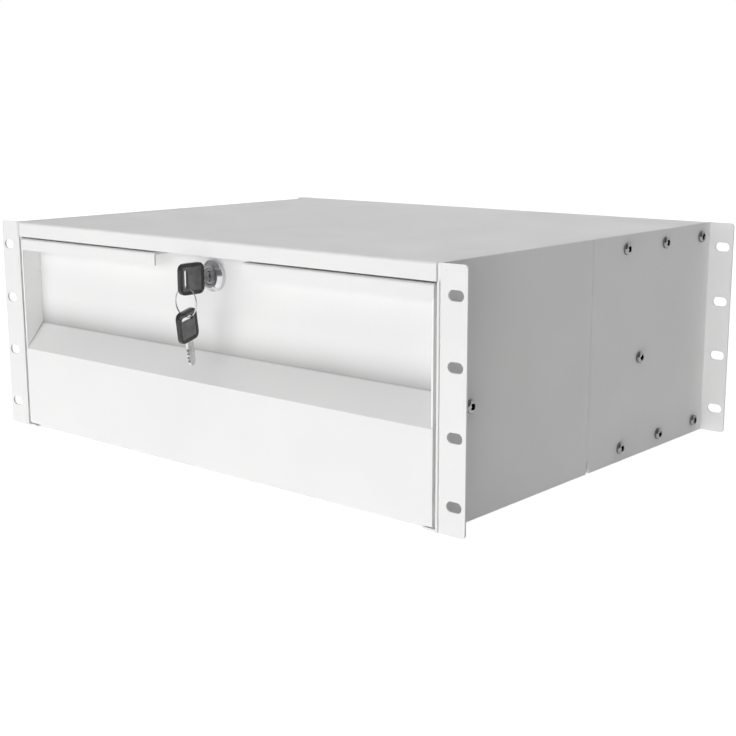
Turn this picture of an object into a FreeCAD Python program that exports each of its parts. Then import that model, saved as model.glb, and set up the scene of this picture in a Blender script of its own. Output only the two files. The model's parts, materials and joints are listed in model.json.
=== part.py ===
"""A lockable sliding rack drawer, four units high, for a 19-inch rack.

Frame: X to the right, Y into the case, Z up, in millimetres. The origin is the centre of the
front slot pattern, on the front face of the front flanges.
"""
import FreeCAD, Part
import math
import os
import re

import Sketcher
from FreeCAD import Placement, Rotation, Vector

SIZES = {
    # Rack standard: flanges and their slots
    "rack_width": 482.6,
    "slot_inset": 8.75,
    "slot_pitch": 44.45,
    "slot_width": 7,
    "slot_length": 12,
    # Case
    "case_height": 172,
    "flange_width": 21.8,
    "case_depth": 355,
    "sheet_metal": 1.5,
    "bend_inner": 0.8,
    "flange_corner": 3,
    "lip_height": 12,
    "lip_gap": 1,
    "relief_width": 2.5,
    "notch_lead": 2,
    "notch_width": 4,
    "notch_height": 9,
    "notch_depth": 6,
    "pan_front": 4,
    "pan_side": 16,
    "tab_width": 10,
    "tab_inset": 5,
    "tab_reach": 3.5,
    "back_fold": 12,
    "back_gap": 0.5,
    "bracket_length": 178,
    "bracket_gap": 0.6,
    # Screws, nuts and rivets
    "screw_size": 4,
    "screw_hole": 4.4,
    "head_width": 9,
    "head_rise": 2.8,
    "head_bevel": 0.8,
    "screw_length": 9,
    "bracket_row_inset": 10.5,
    "bracket_screw_start": 45.5,
    "bracket_screw_end": 15.5,
    "nut_width": 7,
    "nut_rise": 3.2,
    "nut_bore": 4.2,
    "rivet_width": 6,
    "rivet_rise": 1,
    # Slides
    "slide_drop": 9,
    "slide_front": 20,
    "slide_end_gap": 10,
    "slide_width": 12.7,
    "rail_height": 45.5,
    "rail_metal": 1.2,
    "rail_short": 7,
    "outer_flange": 11,
    "outer_hook": 1.4,
    "middle_flange": 10,
    "inner_flange": 7,
    "cage_metal": 0.8,
    "cage_gap": 0.7,
    "middle_gap": 0.9,
    "outer_cage_flange": 8.4,
    "inner_cage_flange": 11,
    "cage_start": 80,
    "cage_length": 162,
    "ball_size": 2.8,
    "ball_gap": 0.1,
    "race_depth": 0.35,
    "ball_pitch": 140,
    "outer_ball_place": 6.2,
    "inner_ball_place": 8.6,
    "slide_screw_start": 11,
    "slide_screw_end": 98,
    "rail_slot_length": 14,
    "rail_slot_start": 50,
    "rail_slot_span": 140,
    "web_window_length": 48,
    "web_window_height": 14,
    "web_window_start": 50,
    "web_window_span": 215,
    "cage_window_height": 10,
    "stop_length": 6,
    "stop_height": 24,
    "stop_reach": 9,
    "stop_gap": 0.3,
    # Drawer front
    "front_gap": 2.5,
    "floor_gap": 0.5,
    "fascia_height": 64.6,
    "slope_rise": 20.4,
    "recess_depth": 17,
    "roof_gap": 1.2,
    "strip_height": 9.6,
    "cutaway_width": 94,
    "front_return": 34,
    # Drawer tray
    "tray_metal": 1.2,
    "tray_end_gap": 20,
    "tray_rim_drop": 16,
    "tray_hem": 6,
    "tray_screw_start": 40,
    "tray_head_width": 8.4,
    "tray_head_rise": 1.4,
    "tray_screw_length": 4.6,
    # Lock
    "lock_drop": 14.8,
    "bezel_width": 23,
    "bezel_rise": 6,
    "bezel_bevel": 2.6,
    "barrel_width": 18.6,
    "barrel_length": 20,
    "barrel_flats": 16,
    "lock_fit": 0.2,
    "lock_nut_width": 24,
    "lock_nut_rise": 3,
    "plug_width": 12,
    "plug_gap": 0.3,
    "cam_length": 24,
    "cam_width": 14,
    "cam_metal": 2,
    "cam_square": 6,
    "cam_screw_length": 5,
    "cam_head_width": 9,
    "cam_head_rise": 2.2,
    # Strike that the cam turns up behind
    "strike_width": 40,
    "strike_front": 20,
    "strike_reach": 12.5,
    "strike_drop": 9.5,
    "rivet_pitch": 24,
    # Keys and ring
    "bow_length": 23,
    "bow_height": 22.7,
    "bow_thickness": 3,
    "bow_corner": 5,
    "bow_rim": 2.6,
    "bow_inset": 0.4,
    "bow_slot_length": 13.5,
    "bow_slot_width": 3,
    "bow_slot_place": 6,
    "blade_length": 18.5,
    "blade_height": 7,
    "blade_thickness": 2,
    "blade_root": 8,
    "blade_show": 5.5,
    "blade_point": 3,
    "bit_pitch": 2.8,
    "key_gap": 0.3,
    "ring_radius": 11,
    "ring_metal": 0.8,
    "ring_width": 1.2,
    "ring_hang": 7.2,
    "spare_lean": 9,
    "spare_turn": 14,
}
SLOTS_PER_FLANGE = 4
BRACKET_SCREWS_PER_ROW = 3
TRAY_SCREWS_PER_SIDE = 3
BALLS_PER_ROW = 2
OUTER_RAIL_SLOTS = 3
MIDDLE_RAIL_SLOTS = 3
BIT_DEPTHS = (0.9, 1.7, 0.6, 1.3)

# Planes and lines that several pieces share, as formulas of the sizes
TOP = "(case_height / 2)"
BOTTOM = "(-case_height / 2)"
OUTER_WALL = "(rack_width / 2 - flange_width)"
INNER_WALL = f"({OUTER_WALL} - sheet_metal)"
SIDE_FACE = f"({OUTER_WALL} + sheet_metal)"
FLANGE_EDGE = "(rack_width / 2)"
BEND_OUTER = "(bend_inner + sheet_metal)"
LIP_EDGE = f"({INNER_WALL} - lip_gap)"
LIP_BOTTOM = f"({TOP} - lip_height)"
PAN_TOP = f"({BOTTOM} + sheet_metal)"
SLOT_ROW = "(rack_width / 2 - slot_inset)"
BRACKET_FRONT = "(case_depth - bracket_length)"
BRACKET_SEAM = f"({BRACKET_FRONT} - bracket_gap)"
BRACKET_SCREW_FRONT = f"({BRACKET_FRONT} + bracket_screw_start)"
BRACKET_SCREW_SPAN = "(bracket_length - bracket_screw_start - bracket_screw_end)"
BRACKET_ROW = f"({TOP} - bracket_row_inset)"
NOTCH_FRONT = f"({BRACKET_FRONT} - notch_lead)"
PAN_SIDE_FACE = f"({INNER_WALL} - sheet_metal)"
CEILING = f"({TOP} - sheet_metal)"
SLIDE_LEVEL = "(-slide_drop)"
SLIDE_LENGTH = "(case_depth - slide_front - slide_end_gap)"
FRONT_EDGE = f"({INNER_WALL} - front_gap)"
FRONT_BOTTOM = f"({PAN_TOP} + floor_gap)"
FASCIA_TOP = f"({FRONT_BOTTOM} + fascia_height)"
SLOPE_TOP = f"({FASCIA_TOP} + slope_rise)"
ROOF_TOP = f"({LIP_BOTTOM} - roof_gap)"
ROOF_BOTTOM = f"({ROOF_TOP} - sheet_metal)"
STRIP_BOTTOM = f"({ROOF_TOP} - strip_height)"
LOCK_LEVEL = f"({ROOF_TOP} - lock_drop)"
PANEL_BACK = "(recess_depth + sheet_metal)"
# The back corners of a slanted sheet shift by the thickness times the tangent of half the turn
SLOPE_SHIFT = "(sheet_metal * (sqrt(recess_depth ^ 2 + slope_rise ^ 2) - slope_rise) / recess_depth)"
TRAY_WALL = f"({INNER_WALL} - slide_width)"
TRAY_FLOOR = f"({FRONT_BOTTOM} + sheet_metal)"
TRAY_BACK = "(case_depth - tray_end_gap)"
TRAY_RIM = f"({LOCK_LEVEL} - tray_rim_drop)"
TRAY_SCREW_FRONT = "(slide_front + tray_screw_start)"
TRAY_SCREW_SPAN = f"({SLIDE_LENGTH} - rail_short - 2 * tray_screw_start)"
# Half heights of the nested rails and ball rows, from the outside in
OUTER_HALF = "(rail_height / 2)"
OUTER_BALL_ROW = f"({OUTER_HALF} - rail_metal + race_depth - ball_size / 2)"
MIDDLE_HALF = f"({OUTER_BALL_ROW} - ball_size / 2 + race_depth)"
INNER_BALL_ROW = f"({MIDDLE_HALF} - rail_metal + race_depth - ball_size / 2)"
INNER_HALF = f"({INNER_BALL_ROW} - ball_size / 2 + race_depth)"
# Depths of the webs, measured inwards from the inner face of the case side
OUTER_CAGE_WEB = "(rail_metal + cage_gap)"
MIDDLE_WEB = f"({OUTER_CAGE_WEB} + cage_metal + middle_gap)"
INNER_CAGE_WEB = f"({MIDDLE_WEB} + rail_metal + cage_gap)"
BEZEL_FACE = "(recess_depth - bezel_rise)"
BARREL_END = "(recess_depth + barrel_length)"
CAM_FACE = f"({BARREL_END} + plug_gap)"
PLUG_FACE = f"({BEZEL_FACE} + plug_gap)"
BOW_SLOT_Y = f"({BEZEL_FACE} - blade_show - bow_length + bow_slot_place)"
BOW_END = "(bow_length - bow_slot_place)"
# The ring hangs round the web between the bow's slot and its lower edge
RING_CENTRE = f"({LOCK_LEVEL} - (bow_slot_length / 2 + bow_height / 2) / 2 - ring_hang)"
SPARE_SLOT = f"({RING_CENTRE} - ring_radius - bow_slot_width / 2 + ring_metal / 2 + key_gap)"

doc = FreeCAD.newDocument("rack_drawer")
sheet = doc.addObject("Spreadsheet::Sheet", "Sizes")
for row, (alias, size) in enumerate(SIZES.items(), start=1):
    sheet.set(f"A{row}", alias)
    sheet.set(f"B{row}", str(size))
    sheet.setAlias(f"B{row}", alias)
doc.recompute()

NODES = []


def formula(text):
    """Return the expression with every size written as a cell of the sheet."""
    return re.sub(r"[a-z_]+", lambda word: f"Sizes.{word[0]}" if word[0] in SIZES else word[0], text)


def value(text):
    """Return the present value of a formula."""
    return float(sheet.evalExpression(text))


def negative(text):
    """Return the formula with its sign turned."""
    return f"(-({text}))"


def bind(feature, name, text):
    """Bind one property of a feature to a formula."""
    feature.setExpression(name, formula(text))


def node(item, label):
    """Name a finished sub-part and list it for export."""
    item.Label = label
    NODES.append(item)
    return item


def new_body(label):
    """Make an empty body that may hold several solids."""
    body = doc.addObject("PartDesign::Body", label)
    body.AllowCompound = True
    doc.recompute()
    return node(body, label)


def origin_part(body, role):
    """Return one of the body's own origin planes or axes."""
    return next(item for item in body.Origin.OriginFeatures if item.Role == role)


def pin_point(sketch, index, position, x, y):
    """Hold one point of a sketch at two formulas, measured from the sketch's origin."""
    for kind, text in (("DistanceX", x), ("DistanceY", y)):
        constraint = Sketcher.Constraint(kind, -1, 1, index, position, value(text))
        number = sketch.addConstraint(constraint)
        bind(sketch, f"Constraints[{number}]", text)


def add_polygon(sketch, *corners):
    """Draw a closed outline of straight lines through corners given as formulas."""
    points = [Vector(value(x), value(y), 0) for x, y in corners]
    first = sketch.GeometryCount
    count = len(points)
    lines = [Part.LineSegment(points[i], points[(i + 1) % count]) for i in range(count)]
    sketch.addGeometry(lines, False)
    joints = [("Coincident", first + i, 2, first + (i + 1) % count, 1) for i in range(count)]
    sketch.addConstraint([Sketcher.Constraint(*joint) for joint in joints])
    for i, (x, y) in enumerate(corners):
        pin_point(sketch, first + i, 1, x, y)


def add_box(sketch, x_low, y_low, x_high, y_high):
    """Draw a rectangle between two corners."""
    add_polygon(sketch, (x_low, y_low), (x_high, y_low), (x_high, y_high), (x_low, y_high))


def add_circle(sketch, x, y, radius):
    """Draw a circle with its centre and radius given as formulas."""
    centre = Vector(value(x), value(y), 0)
    index = sketch.addGeometry(Part.Circle(centre, Vector(0, 0, 1), value(radius)), False)
    pin_point(sketch, index, 3, x, y)
    number = sketch.addConstraint(Sketcher.Constraint("Radius", index, value(radius)))
    bind(sketch, f"Constraints[{number}]", radius)


def add_slot(sketch, x, y, length, width, upright=False):
    """Draw a slot with round ends, level or upright."""
    half = f"(({length}) - ({width})) / 2"
    ends = []
    for along, across in ((-1, -1), (1, -1), (1, 1), (-1, 1)):
        reach, side = f"({along}) * {half}", f"({across}) * ({width}) / 2"
        if upright:
            ends.append((f"{x} - ({side})", f"{y} + {reach}"))
        else:
            ends.append((f"{x} + {reach}", f"{y} + {side}"))
    points = [Vector(value(u), value(v), 0) for u, v in ends]
    radius, turn = value(width) / 2, math.pi / 2 if upright else 0
    z_axis = Vector(0, 0, 1)
    far = Part.Circle((points[1] + points[2]) / 2, z_axis, radius)
    near = Part.Circle((points[3] + points[0]) / 2, z_axis, radius)
    first = sketch.GeometryCount
    sketch.addGeometry([
        Part.LineSegment(points[0], points[1]),
        Part.ArcOfCircle(far, turn - math.pi / 2, turn + math.pi / 2),
        Part.LineSegment(points[2], points[3]),
        Part.ArcOfCircle(near, turn + math.pi / 2, turn + 3 * math.pi / 2),
    ], False)
    sketch.addConstraint([
        Sketcher.Constraint("Tangent", first, 2, first + 1, 1),
        Sketcher.Constraint("Coincident", first + 1, 2, first + 2, 1),
        Sketcher.Constraint("Tangent", first + 2, 2, first + 3, 1),
        Sketcher.Constraint("Coincident", first + 3, 2, first, 1),
    ])
    corners = ((0, 1), (0, 2), (2, 1), (2, 2))
    for (line, position), (u, v) in zip(corners, ends):
        pin_point(sketch, first + line, position, u, v)


def draw(body, name, plane, start, *shapes):
    """Attach a sketch to an origin plane, lifted to a start, and draw the shapes in it.

    Each shape is a drawing function followed by what it takes.
    """
    sketch = body.newObject("Sketcher::SketchObject", name)
    sketch.AttachmentSupport = (origin_part(body, f"{plane}_Plane"), [""])
    sketch.MapMode = "FlatFace"
    bind(sketch, "AttachmentOffset.Base.z", negative(start) if plane == "XZ" else start)
    for add_shape, *arguments in shapes:
        add_shape(sketch, *arguments)
    doc.recompute()
    return sketch


def finish_feature(body, feature):
    """Make a feature the body's last one and work it out."""
    body.Tip = feature
    doc.recompute()
    return feature


def pad(body, name, plane, start, length, *shapes):
    """Raise shapes from a start towards the positive end of the plane's normal."""
    sketch = draw(body, f"{name}_outline", plane, start, *shapes)
    feature = body.newObject("PartDesign::Pad", name)
    feature.Profile = (sketch, [""])
    feature.Reversed = plane == "XZ"
    bind(feature, "Length", length)
    return finish_feature(body, feature)


def cut(body, name, plane, start, length, *shapes):
    """Cut shapes away from a start towards the positive end of the plane's normal."""
    before = body.Shape.Volume
    sketch = draw(body, f"{name}_outline", plane, start, *shapes)
    feature = body.newObject("PartDesign::Pocket", name)
    feature.Profile = (sketch, [""])
    feature.Reversed = plane != "XZ"
    bind(feature, "Length", length)
    finish_feature(body, feature)
    if body.Shape.Volume > before - 0.01:
        raise RuntimeError(f"{name} of {body.Label} cuts nothing")
    return feature


def repeat(body, name, feature, first_row, second_row=None):
    """Repeat a feature along one axis, or along two.

    Each row is an axis letter, the number of copies and the length from first to last.
    """
    pattern = body.newObject("PartDesign::LinearPattern", name)
    pattern.Originals = [feature]
    rows = [("", first_row)] + ([("2", second_row)] if second_row else [])
    for ending, (axis, count, length) in rows:
        setattr(pattern, f"Direction{ending}", (origin_part(body, f"{axis}_Axis"), [""]))
        setattr(pattern, f"Occurrences{ending}", count)
        bind(pattern, f"Length{ending}", length)
    return finish_feature(body, pattern)


def edges_at(shape, place):
    """Name the straight edges whose middle lies at a place; None stands for any value there."""
    goal = [None if text is None else value(text) for text in place]
    names = []
    for number, edge in enumerate(shape.Edges, start=1):
        if edge.Curve.TypeId != "Part::GeomLine":
            continue
        reach = edge.Vertexes[-1].Point - edge.Vertexes[0].Point
        middle = edge.CenterOfMass
        along = all(abs(abs(reach[i]) - edge.Length) < 1e-6 for i in range(3) if goal[i] is None)
        near = all(abs(middle[i] - goal[i]) < 0.02 for i in range(3) if goal[i] is not None)
        if along and near:
            names.append(f"Edge{number}")
    return names


def rims_at(shape, axis, place, radius):
    """Name the round edges of a radius whose centre lies at a place along an axis."""
    names = []
    for number, edge in enumerate(shape.Edges, start=1):
        if edge.Curve.TypeId != "Part::GeomCircle":
            continue
        same_place = abs(edge.Curve.Center[axis] - value(place)) < 0.01
        if same_place and abs(edge.Curve.Radius - value(radius)) < 0.01:
            names.append(f"Edge{number}")
    return names


def smooth(body, name, radius, names):
    """Round the named edges of a body's last shape."""
    if not names:
        raise RuntimeError(f"{name} of {body.Label} finds no edge")
    base = body.Tip
    feature = body.newObject("PartDesign::Fillet", name)
    feature.Base = (base, names)
    bind(feature, "Radius", radius)
    return finish_feature(body, feature)


def bevel(body, name, size, names):
    """Cut the named edges of a body's last shape at 45 degrees."""
    base = body.Tip
    feature = body.newObject("PartDesign::Chamfer", name)
    feature.Base = (base, names)
    bind(feature, "Size", size)
    return finish_feature(body, feature)


def bend(body, name, radius, *places):
    """Round the straight edges at the places given."""
    names = [edge for place in places for edge in edges_at(body.Shape, place)]
    return smooth(body, name, radius, names)


def place(item, x="0", y="0", z="0"):
    """Bind an item's position to three formulas."""
    for letter, text in (("x", x), ("y", y), ("z", z)):
        bind(item, f"Placement.Base.{letter}", text)
    doc.recompute()


def mirror(source, label):
    """Make the left-hand copy of a right-hand piece."""
    copy = doc.addObject("Part::Mirroring", label)
    copy.Source = source
    copy.Normal = Vector(1, 0, 0)
    doc.recompute()
    return node(copy, label)


def flange_slots(body, y):
    """Cut the row of rack slots through a bracket's flange and round the flange's corners."""
    lowest = f"-{(SLOTS_PER_FLANGE - 1) / 2} * slot_pitch"
    slot = cut(body, "slot", "XZ", y, "sheet_metal",
               (add_slot, SLOT_ROW, lowest, "slot_length", "slot_width"))
    repeat(body, "slots", slot, ("Z", SLOTS_PER_FLANGE, f"{SLOTS_PER_FLANGE - 1} * slot_pitch"))
    bend(body, "flange_corners", "flange_corner", (FLANGE_EDGE, None, TOP), (FLANGE_EDGE, None, BOTTOM))


def side_holes(body):
    """Cut the bracket screws' holes through every side wall of a body, from left to right."""
    hole = cut(body, "bracket_hole", "YZ", negative(SIDE_FACE), f"2 * {SIDE_FACE}",
               (add_circle, BRACKET_SCREW_FRONT, negative(BRACKET_ROW), "screw_hole / 2"))
    repeat(body, "bracket_holes", hole, ("Y", BRACKET_SCREWS_PER_ROW, BRACKET_SCREW_SPAN),
           ("Z", 2, f"2 * {BRACKET_ROW}"))


def slide_holes(body, *columns):
    """Cut the slide screws' holes through the side walls of a body."""
    for number, column in enumerate(columns, start=1):
        cut(body, f"slide_hole_{number}", "YZ", negative(SIDE_FACE), f"2 * {SIDE_FACE}",
            (add_circle, column, SLIDE_LEVEL, "screw_hole / 2"))


SLIDE_SCREW_COLUMNS = ("(slide_front + slide_screw_start)",
                       f"(slide_front + {SLIDE_LENGTH} - slide_screw_end)")


def make_case_shell():
    """Fold the top, the sides and the front lip from one sheet."""
    body = new_body("case_shell")
    left, right = negative(OUTER_WALL), OUTER_WALL
    pad(body, "walls", "XZ", "0", "case_depth",
        (add_polygon, (left, BOTTOM), (left, TOP), (right, TOP), (right, BOTTOM), (INNER_WALL, BOTTOM),
         (INNER_WALL, CEILING), (negative(INNER_WALL), CEILING), (negative(INNER_WALL), BOTTOM)))
    pad(body, "lip", "XZ", "0", "sheet_metal",
        (add_box, negative(LIP_EDGE), LIP_BOTTOM, LIP_EDGE, TOP))
    relief_end = f"({LIP_EDGE} + relief_width)"
    cut(body, "corner_reliefs", "XZ", "0", "2 * sheet_metal",
        (add_box, LIP_EDGE, LIP_BOTTOM, relief_end, TOP),
        (add_box, negative(relief_end), LIP_BOTTOM, negative(LIP_EDGE), TOP))
    half_depth = "(2 * sheet_metal + case_depth) / 2"
    bend(body, "top_outer_bends", BEND_OUTER, (left, half_depth, TOP), (right, half_depth, TOP))
    bend(body, "lip_outer_bend", BEND_OUTER, ("0", "0", TOP))
    bend(body, "top_inner_bends", "bend_inner",
         (negative(INNER_WALL), None, CEILING), (INNER_WALL, None, CEILING))
    bend(body, "lip_inner_bend", "bend_inner", ("0", "sheet_metal", CEILING))
    cut(body, "foot_notches", "YZ", left, f"2 * {OUTER_WALL}",
        (add_box, NOTCH_FRONT, BOTTOM, f"{NOTCH_FRONT} + notch_width", f"{BOTTOM} + notch_height"))
    side_holes(body)
    slide_holes(body, *SLIDE_SCREW_COLUMNS)


def make_base_pan():
    """Fold the bottom with its sides turned up and two small tabs at the front."""
    body = new_body("base_pan")
    rise = f"({BOTTOM} + pan_side)"
    left, face = negative(INNER_WALL), PAN_SIDE_FACE
    pad(body, "floor", "XZ", "pan_front", "case_depth - sheet_metal - pan_front",
        (add_polygon, (left, BOTTOM), (INNER_WALL, BOTTOM), (INNER_WALL, rise), (face, rise),
         (face, PAN_TOP), (negative(face), PAN_TOP), (negative(face), rise), (left, rise)))
    bend(body, "inner_bends", "bend_inner", (face, None, PAN_TOP), (negative(face), None, PAN_TOP))
    bend(body, "outer_bends", BEND_OUTER, (INNER_WALL, None, BOTTOM), (left, None, BOTTOM))
    tab_middle = f"({INNER_WALL} - tab_inset)"
    tab = f"{tab_middle} - tab_width / 2", f"{tab_middle} + tab_width / 2"
    tab_start = "pan_front - tab_reach"
    pad(body, "tabs", "XY", BOTTOM, "sheet_metal",
        (add_box, tab[0], tab_start, tab[1], "pan_front + sheet_metal"),
        (add_box, negative(tab[1]), tab_start, negative(tab[0]), "pan_front + sheet_metal"))
    notch_in = f"{INNER_WALL} - notch_depth"
    notch_end = f"{NOTCH_FRONT} + notch_width"
    cut(body, "foot_notches", "XY", BOTTOM, "notch_height",
        (add_box, notch_in, NOTCH_FRONT, INNER_WALL, notch_end),
        (add_box, left, NOTCH_FRONT, negative(notch_in), notch_end))
    hole = cut(body, "bracket_hole", "YZ", left, f"2 * {INNER_WALL}",
               (add_circle, BRACKET_SCREW_FRONT, negative(BRACKET_ROW), "screw_hole / 2"))
    repeat(body, "bracket_holes", hole, ("Y", BRACKET_SCREWS_PER_ROW, BRACKET_SCREW_SPAN))


def make_rear_panel():
    """Fold the plain rear wall, with edges turned forward along its top and bottom."""
    body = new_body("rear_panel")
    half = f"({PAN_SIDE_FACE} - back_gap)"
    plate, fold = "case_depth - sheet_metal", "case_depth - back_fold"
    inner_low, inner_high = f"{PAN_TOP} + sheet_metal", f"{CEILING} - sheet_metal"
    pad(body, "plate", "YZ", negative(half), f"2 * {half}",
        (add_polygon, (fold, PAN_TOP), ("case_depth", PAN_TOP), ("case_depth", CEILING),
         (fold, CEILING), (fold, inner_high), (plate, inner_high), (plate, inner_low), (fold, inner_low)))
    bend(body, "outer_bends", BEND_OUTER, (None, "case_depth", PAN_TOP), (None, "case_depth", CEILING))
    bend(body, "inner_bends", "bend_inner", (None, plate, inner_low), (None, plate, inner_high))


def make_bracket(name, joint, bend_face, flange_face):
    """Fold an angle that lies on the case's side from a joint to the flange that it carries."""
    body = new_body(f"right_{name}_bracket")
    pad(body, "angle", "XY", BOTTOM, "case_height",
        (add_polygon, (OUTER_WALL, joint), (SIDE_FACE, joint), (SIDE_FACE, bend_face),
         (FLANGE_EDGE, bend_face), (FLANGE_EDGE, flange_face), (OUTER_WALL, flange_face)))
    bend(body, "outer_bend", BEND_OUTER, (OUTER_WALL, flange_face, None))
    bend(body, "inner_bend", "bend_inner", (SIDE_FACE, bend_face, None))
    cut(body, "foot_notch", "YZ", OUTER_WALL, "sheet_metal",
        (add_box, NOTCH_FRONT, BOTTOM, f"{NOTCH_FRONT} + notch_width", f"{BOTTOM} + notch_height"))
    return body


def make_brackets():
    """Make the front and rear brackets, which meet halfway along each side of the case."""
    front = make_bracket("front", BRACKET_SEAM, "sheet_metal", "0")
    flange_slots(front, "0")
    slide_holes(front, SLIDE_SCREW_COLUMNS[0])
    mirror(front, "left_front_bracket")
    rear = make_bracket("rear", BRACKET_FRONT, "case_depth", "(case_depth + sheet_metal)")
    flange_slots(rear, "case_depth")
    side_holes(rear)
    slide_holes(rear, SLIDE_SCREW_COLUMNS[1])
    mirror(rear, "left_rear_bracket")


def turn(body, name, *corners):
    """Turn an outline round the X axis; its corners are places along the axis and radii."""
    sketch = draw(body, f"{name}_outline", "XY", "0", (add_polygon, *corners))
    feature = body.newObject("PartDesign::Revolution", name)
    feature.Profile = (sketch, [""])
    feature.ReferenceAxis = (origin_part(body, "X_Axis"), [""])
    feature.Angle = 360
    return finish_feature(body, feature)


def turn_screw(body, head_width, head_rise, length):
    """Turn one pan-head screw with its head outwards and its seat at the origin."""
    return turn(body, "screw",
                (head_rise, "0"), (head_rise, f"{head_width} / 2 - head_bevel"), ("0", f"{head_width} / 2"),
                ("0", "screw_size / 2"), (negative(length), "screw_size / 2"), (negative(length), "0"))


def make_bracket_fasteners():
    """Make the six screws of a rear bracket and the nuts inside the case."""
    screws = new_body("right_bracket_screws")
    screw = turn_screw(screws, "head_width", "head_rise", "screw_length")
    row = "Y", BRACKET_SCREWS_PER_ROW, BRACKET_SCREW_SPAN
    repeat(screws, "screws", screw, row, ("Z", 2, f"2 * {BRACKET_ROW}"))
    place(screws, SIDE_FACE, BRACKET_SCREW_FRONT, negative(BRACKET_ROW))
    mirror(screws, "left_bracket_screws")
    nuts = new_body("right_bracket_nuts")
    point, flat = "nut_width / sqrt(3)", "nut_width / 2"
    for name, level, seat in (("upper", BRACKET_ROW, INNER_WALL),
                              ("lower", negative(BRACKET_ROW), PAN_SIDE_FACE)):
        corners = [(f"{BRACKET_SCREW_FRONT} + ({y})", f"{level} + ({z})") for y, z in (
            ("0", point), (f"-{flat}", f"{point} / 2"), (f"-{flat}", f"-{point} / 2"),
            ("0", f"-{point}"), (flat, f"-{point} / 2"), (flat, f"{point} / 2"))]
        nut = pad(nuts, f"{name}_nut", "YZ", f"{seat} - nut_rise", "nut_rise",
                  (add_polygon, *corners),
                  (add_circle, BRACKET_SCREW_FRONT, level, "nut_bore / 2"))
        repeat(nuts, f"{name}_nuts", nut, row)
    mirror(nuts, "left_bracket_nuts")


def rail_outline(back, flange_end, half, metal, opens_inward=True):
    """Return a C-shaped outline: its web stands at a depth from the case side."""
    step = f"+ {metal}" if opens_inward else f"- {metal}"
    web = f"{back} {step}"
    low, high = negative(half), half
    corners = ((back, low), (flange_end, low), (flange_end, f"{low} + {metal}"), (web, f"{low} + {metal}"),
               (web, f"{high} - {metal}"), (flange_end, f"{high} - {metal}"), (flange_end, high),
               (back, high))
    return [(f"{INNER_WALL} - ({depth})", f"{SLIDE_LEVEL} + ({rise})") for depth, rise in corners]


def bend_rail(body, back, half, metal, opens_inward=True):
    """Round the two bends of a C-shaped rail, inside and outside."""
    step = f"+ {metal}" if opens_inward else f"- {metal}"
    outside, inside = f"{INNER_WALL} - ({back})", f"{INNER_WALL} - ({back} {step})"
    low, high = f"{SLIDE_LEVEL} - {half}", f"{SLIDE_LEVEL} + {half}"
    bend(body, "inner_bends", f"{metal} / 2", (inside, None, f"{low} + {metal}"),
         (inside, None, f"{high} - {metal}"))
    bend(body, "outer_bends", f"{metal} * 1.5", (outside, None, low), (outside, None, high))


def roll_races(body, name, ball_row, ball_place):
    """Roll the two grooves along a rail in which one pair of ball rows runs."""
    ball_x, radius = f"{INNER_WALL} - {ball_place}", "ball_size / 2 + ball_gap"
    cut(body, name, "XZ", "slide_front", SLIDE_LENGTH,
        (add_circle, ball_x, f"{SLIDE_LEVEL} - {ball_row}", radius),
        (add_circle, ball_x, f"{SLIDE_LEVEL} + {ball_row}", radius))


def web_slots(body, name, start, span, count, length, height):
    """Punch a row of slots through a rail's web."""
    slot = cut(body, f"{name}_slot", "YZ", f"{INNER_WALL} - slide_width", "slide_width",
               (add_slot, f"slide_front + {start}", SLIDE_LEVEL, length, height))
    repeat(body, f"{name}_slots", slot, ("Y", count, span))


def make_outer_rails():
    """Roll the outer rail, whose hooked edges keep the ball rows in."""
    body = new_body("right_outer_rail")
    back = "0"
    pad(body, "channel", "XZ", "slide_front", SLIDE_LENGTH,
        (add_polygon, *rail_outline(back, "outer_flange", OUTER_HALF, "rail_metal")))
    bend_rail(body, back, OUTER_HALF, "rail_metal")
    hook_start, hook_end = f"{INNER_WALL} - outer_flange", f"{INNER_WALL} - outer_flange + rail_metal"
    rim = f"({OUTER_HALF} - rail_metal - outer_hook)"
    pad(body, "hooks", "XZ", "slide_front", SLIDE_LENGTH,
        (add_box, hook_start, f"{SLIDE_LEVEL} + {rim}", hook_end, f"{SLIDE_LEVEL} + {OUTER_HALF}"),
        (add_box, hook_start, f"{SLIDE_LEVEL} - {OUTER_HALF}", hook_end, f"{SLIDE_LEVEL} - {rim}"))
    roll_races(body, "races", OUTER_BALL_ROW, "outer_ball_place")
    slide_holes(body, *SLIDE_SCREW_COLUMNS)
    web_slots(body, "spare", "rail_slot_start", "rail_slot_span", OUTER_RAIL_SLOTS,
              "rail_slot_length", "screw_hole")
    mirror(body, "left_outer_rail")
    stop = new_body("right_rail_stop")
    stop_start = f"slide_front + {SLIDE_LENGTH} - rail_short + stop_gap"
    pad(stop, "block", "XZ", stop_start, "stop_length",
        (add_box, f"{INNER_WALL} - stop_reach", f"{SLIDE_LEVEL} - stop_height / 2",
         f"{INNER_WALL} - rail_metal", f"{SLIDE_LEVEL} + stop_height / 2"))
    bend(stop, "soft_edges", "bend_inner", (f"{INNER_WALL} - stop_reach", stop_start, None))
    mirror(stop, "left_rail_stop")


def make_middle_rails():
    """Roll the middle rail, which runs between the two ball cages."""
    body = new_body("right_middle_rail")
    pad(body, "channel", "XZ", "slide_front", f"{SLIDE_LENGTH} - rail_short",
        (add_polygon, *rail_outline(MIDDLE_WEB, "middle_flange", MIDDLE_HALF, "rail_metal")))
    bend_rail(body, MIDDLE_WEB, MIDDLE_HALF, "rail_metal")
    roll_races(body, "outer_races", OUTER_BALL_ROW, "outer_ball_place")
    roll_races(body, "inner_races", INNER_BALL_ROW, "inner_ball_place")
    web_slots(body, "access", "web_window_start", "web_window_span", MIDDLE_RAIL_SLOTS,
              "web_window_length", "web_window_height")
    mirror(body, "left_middle_rail")


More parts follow.
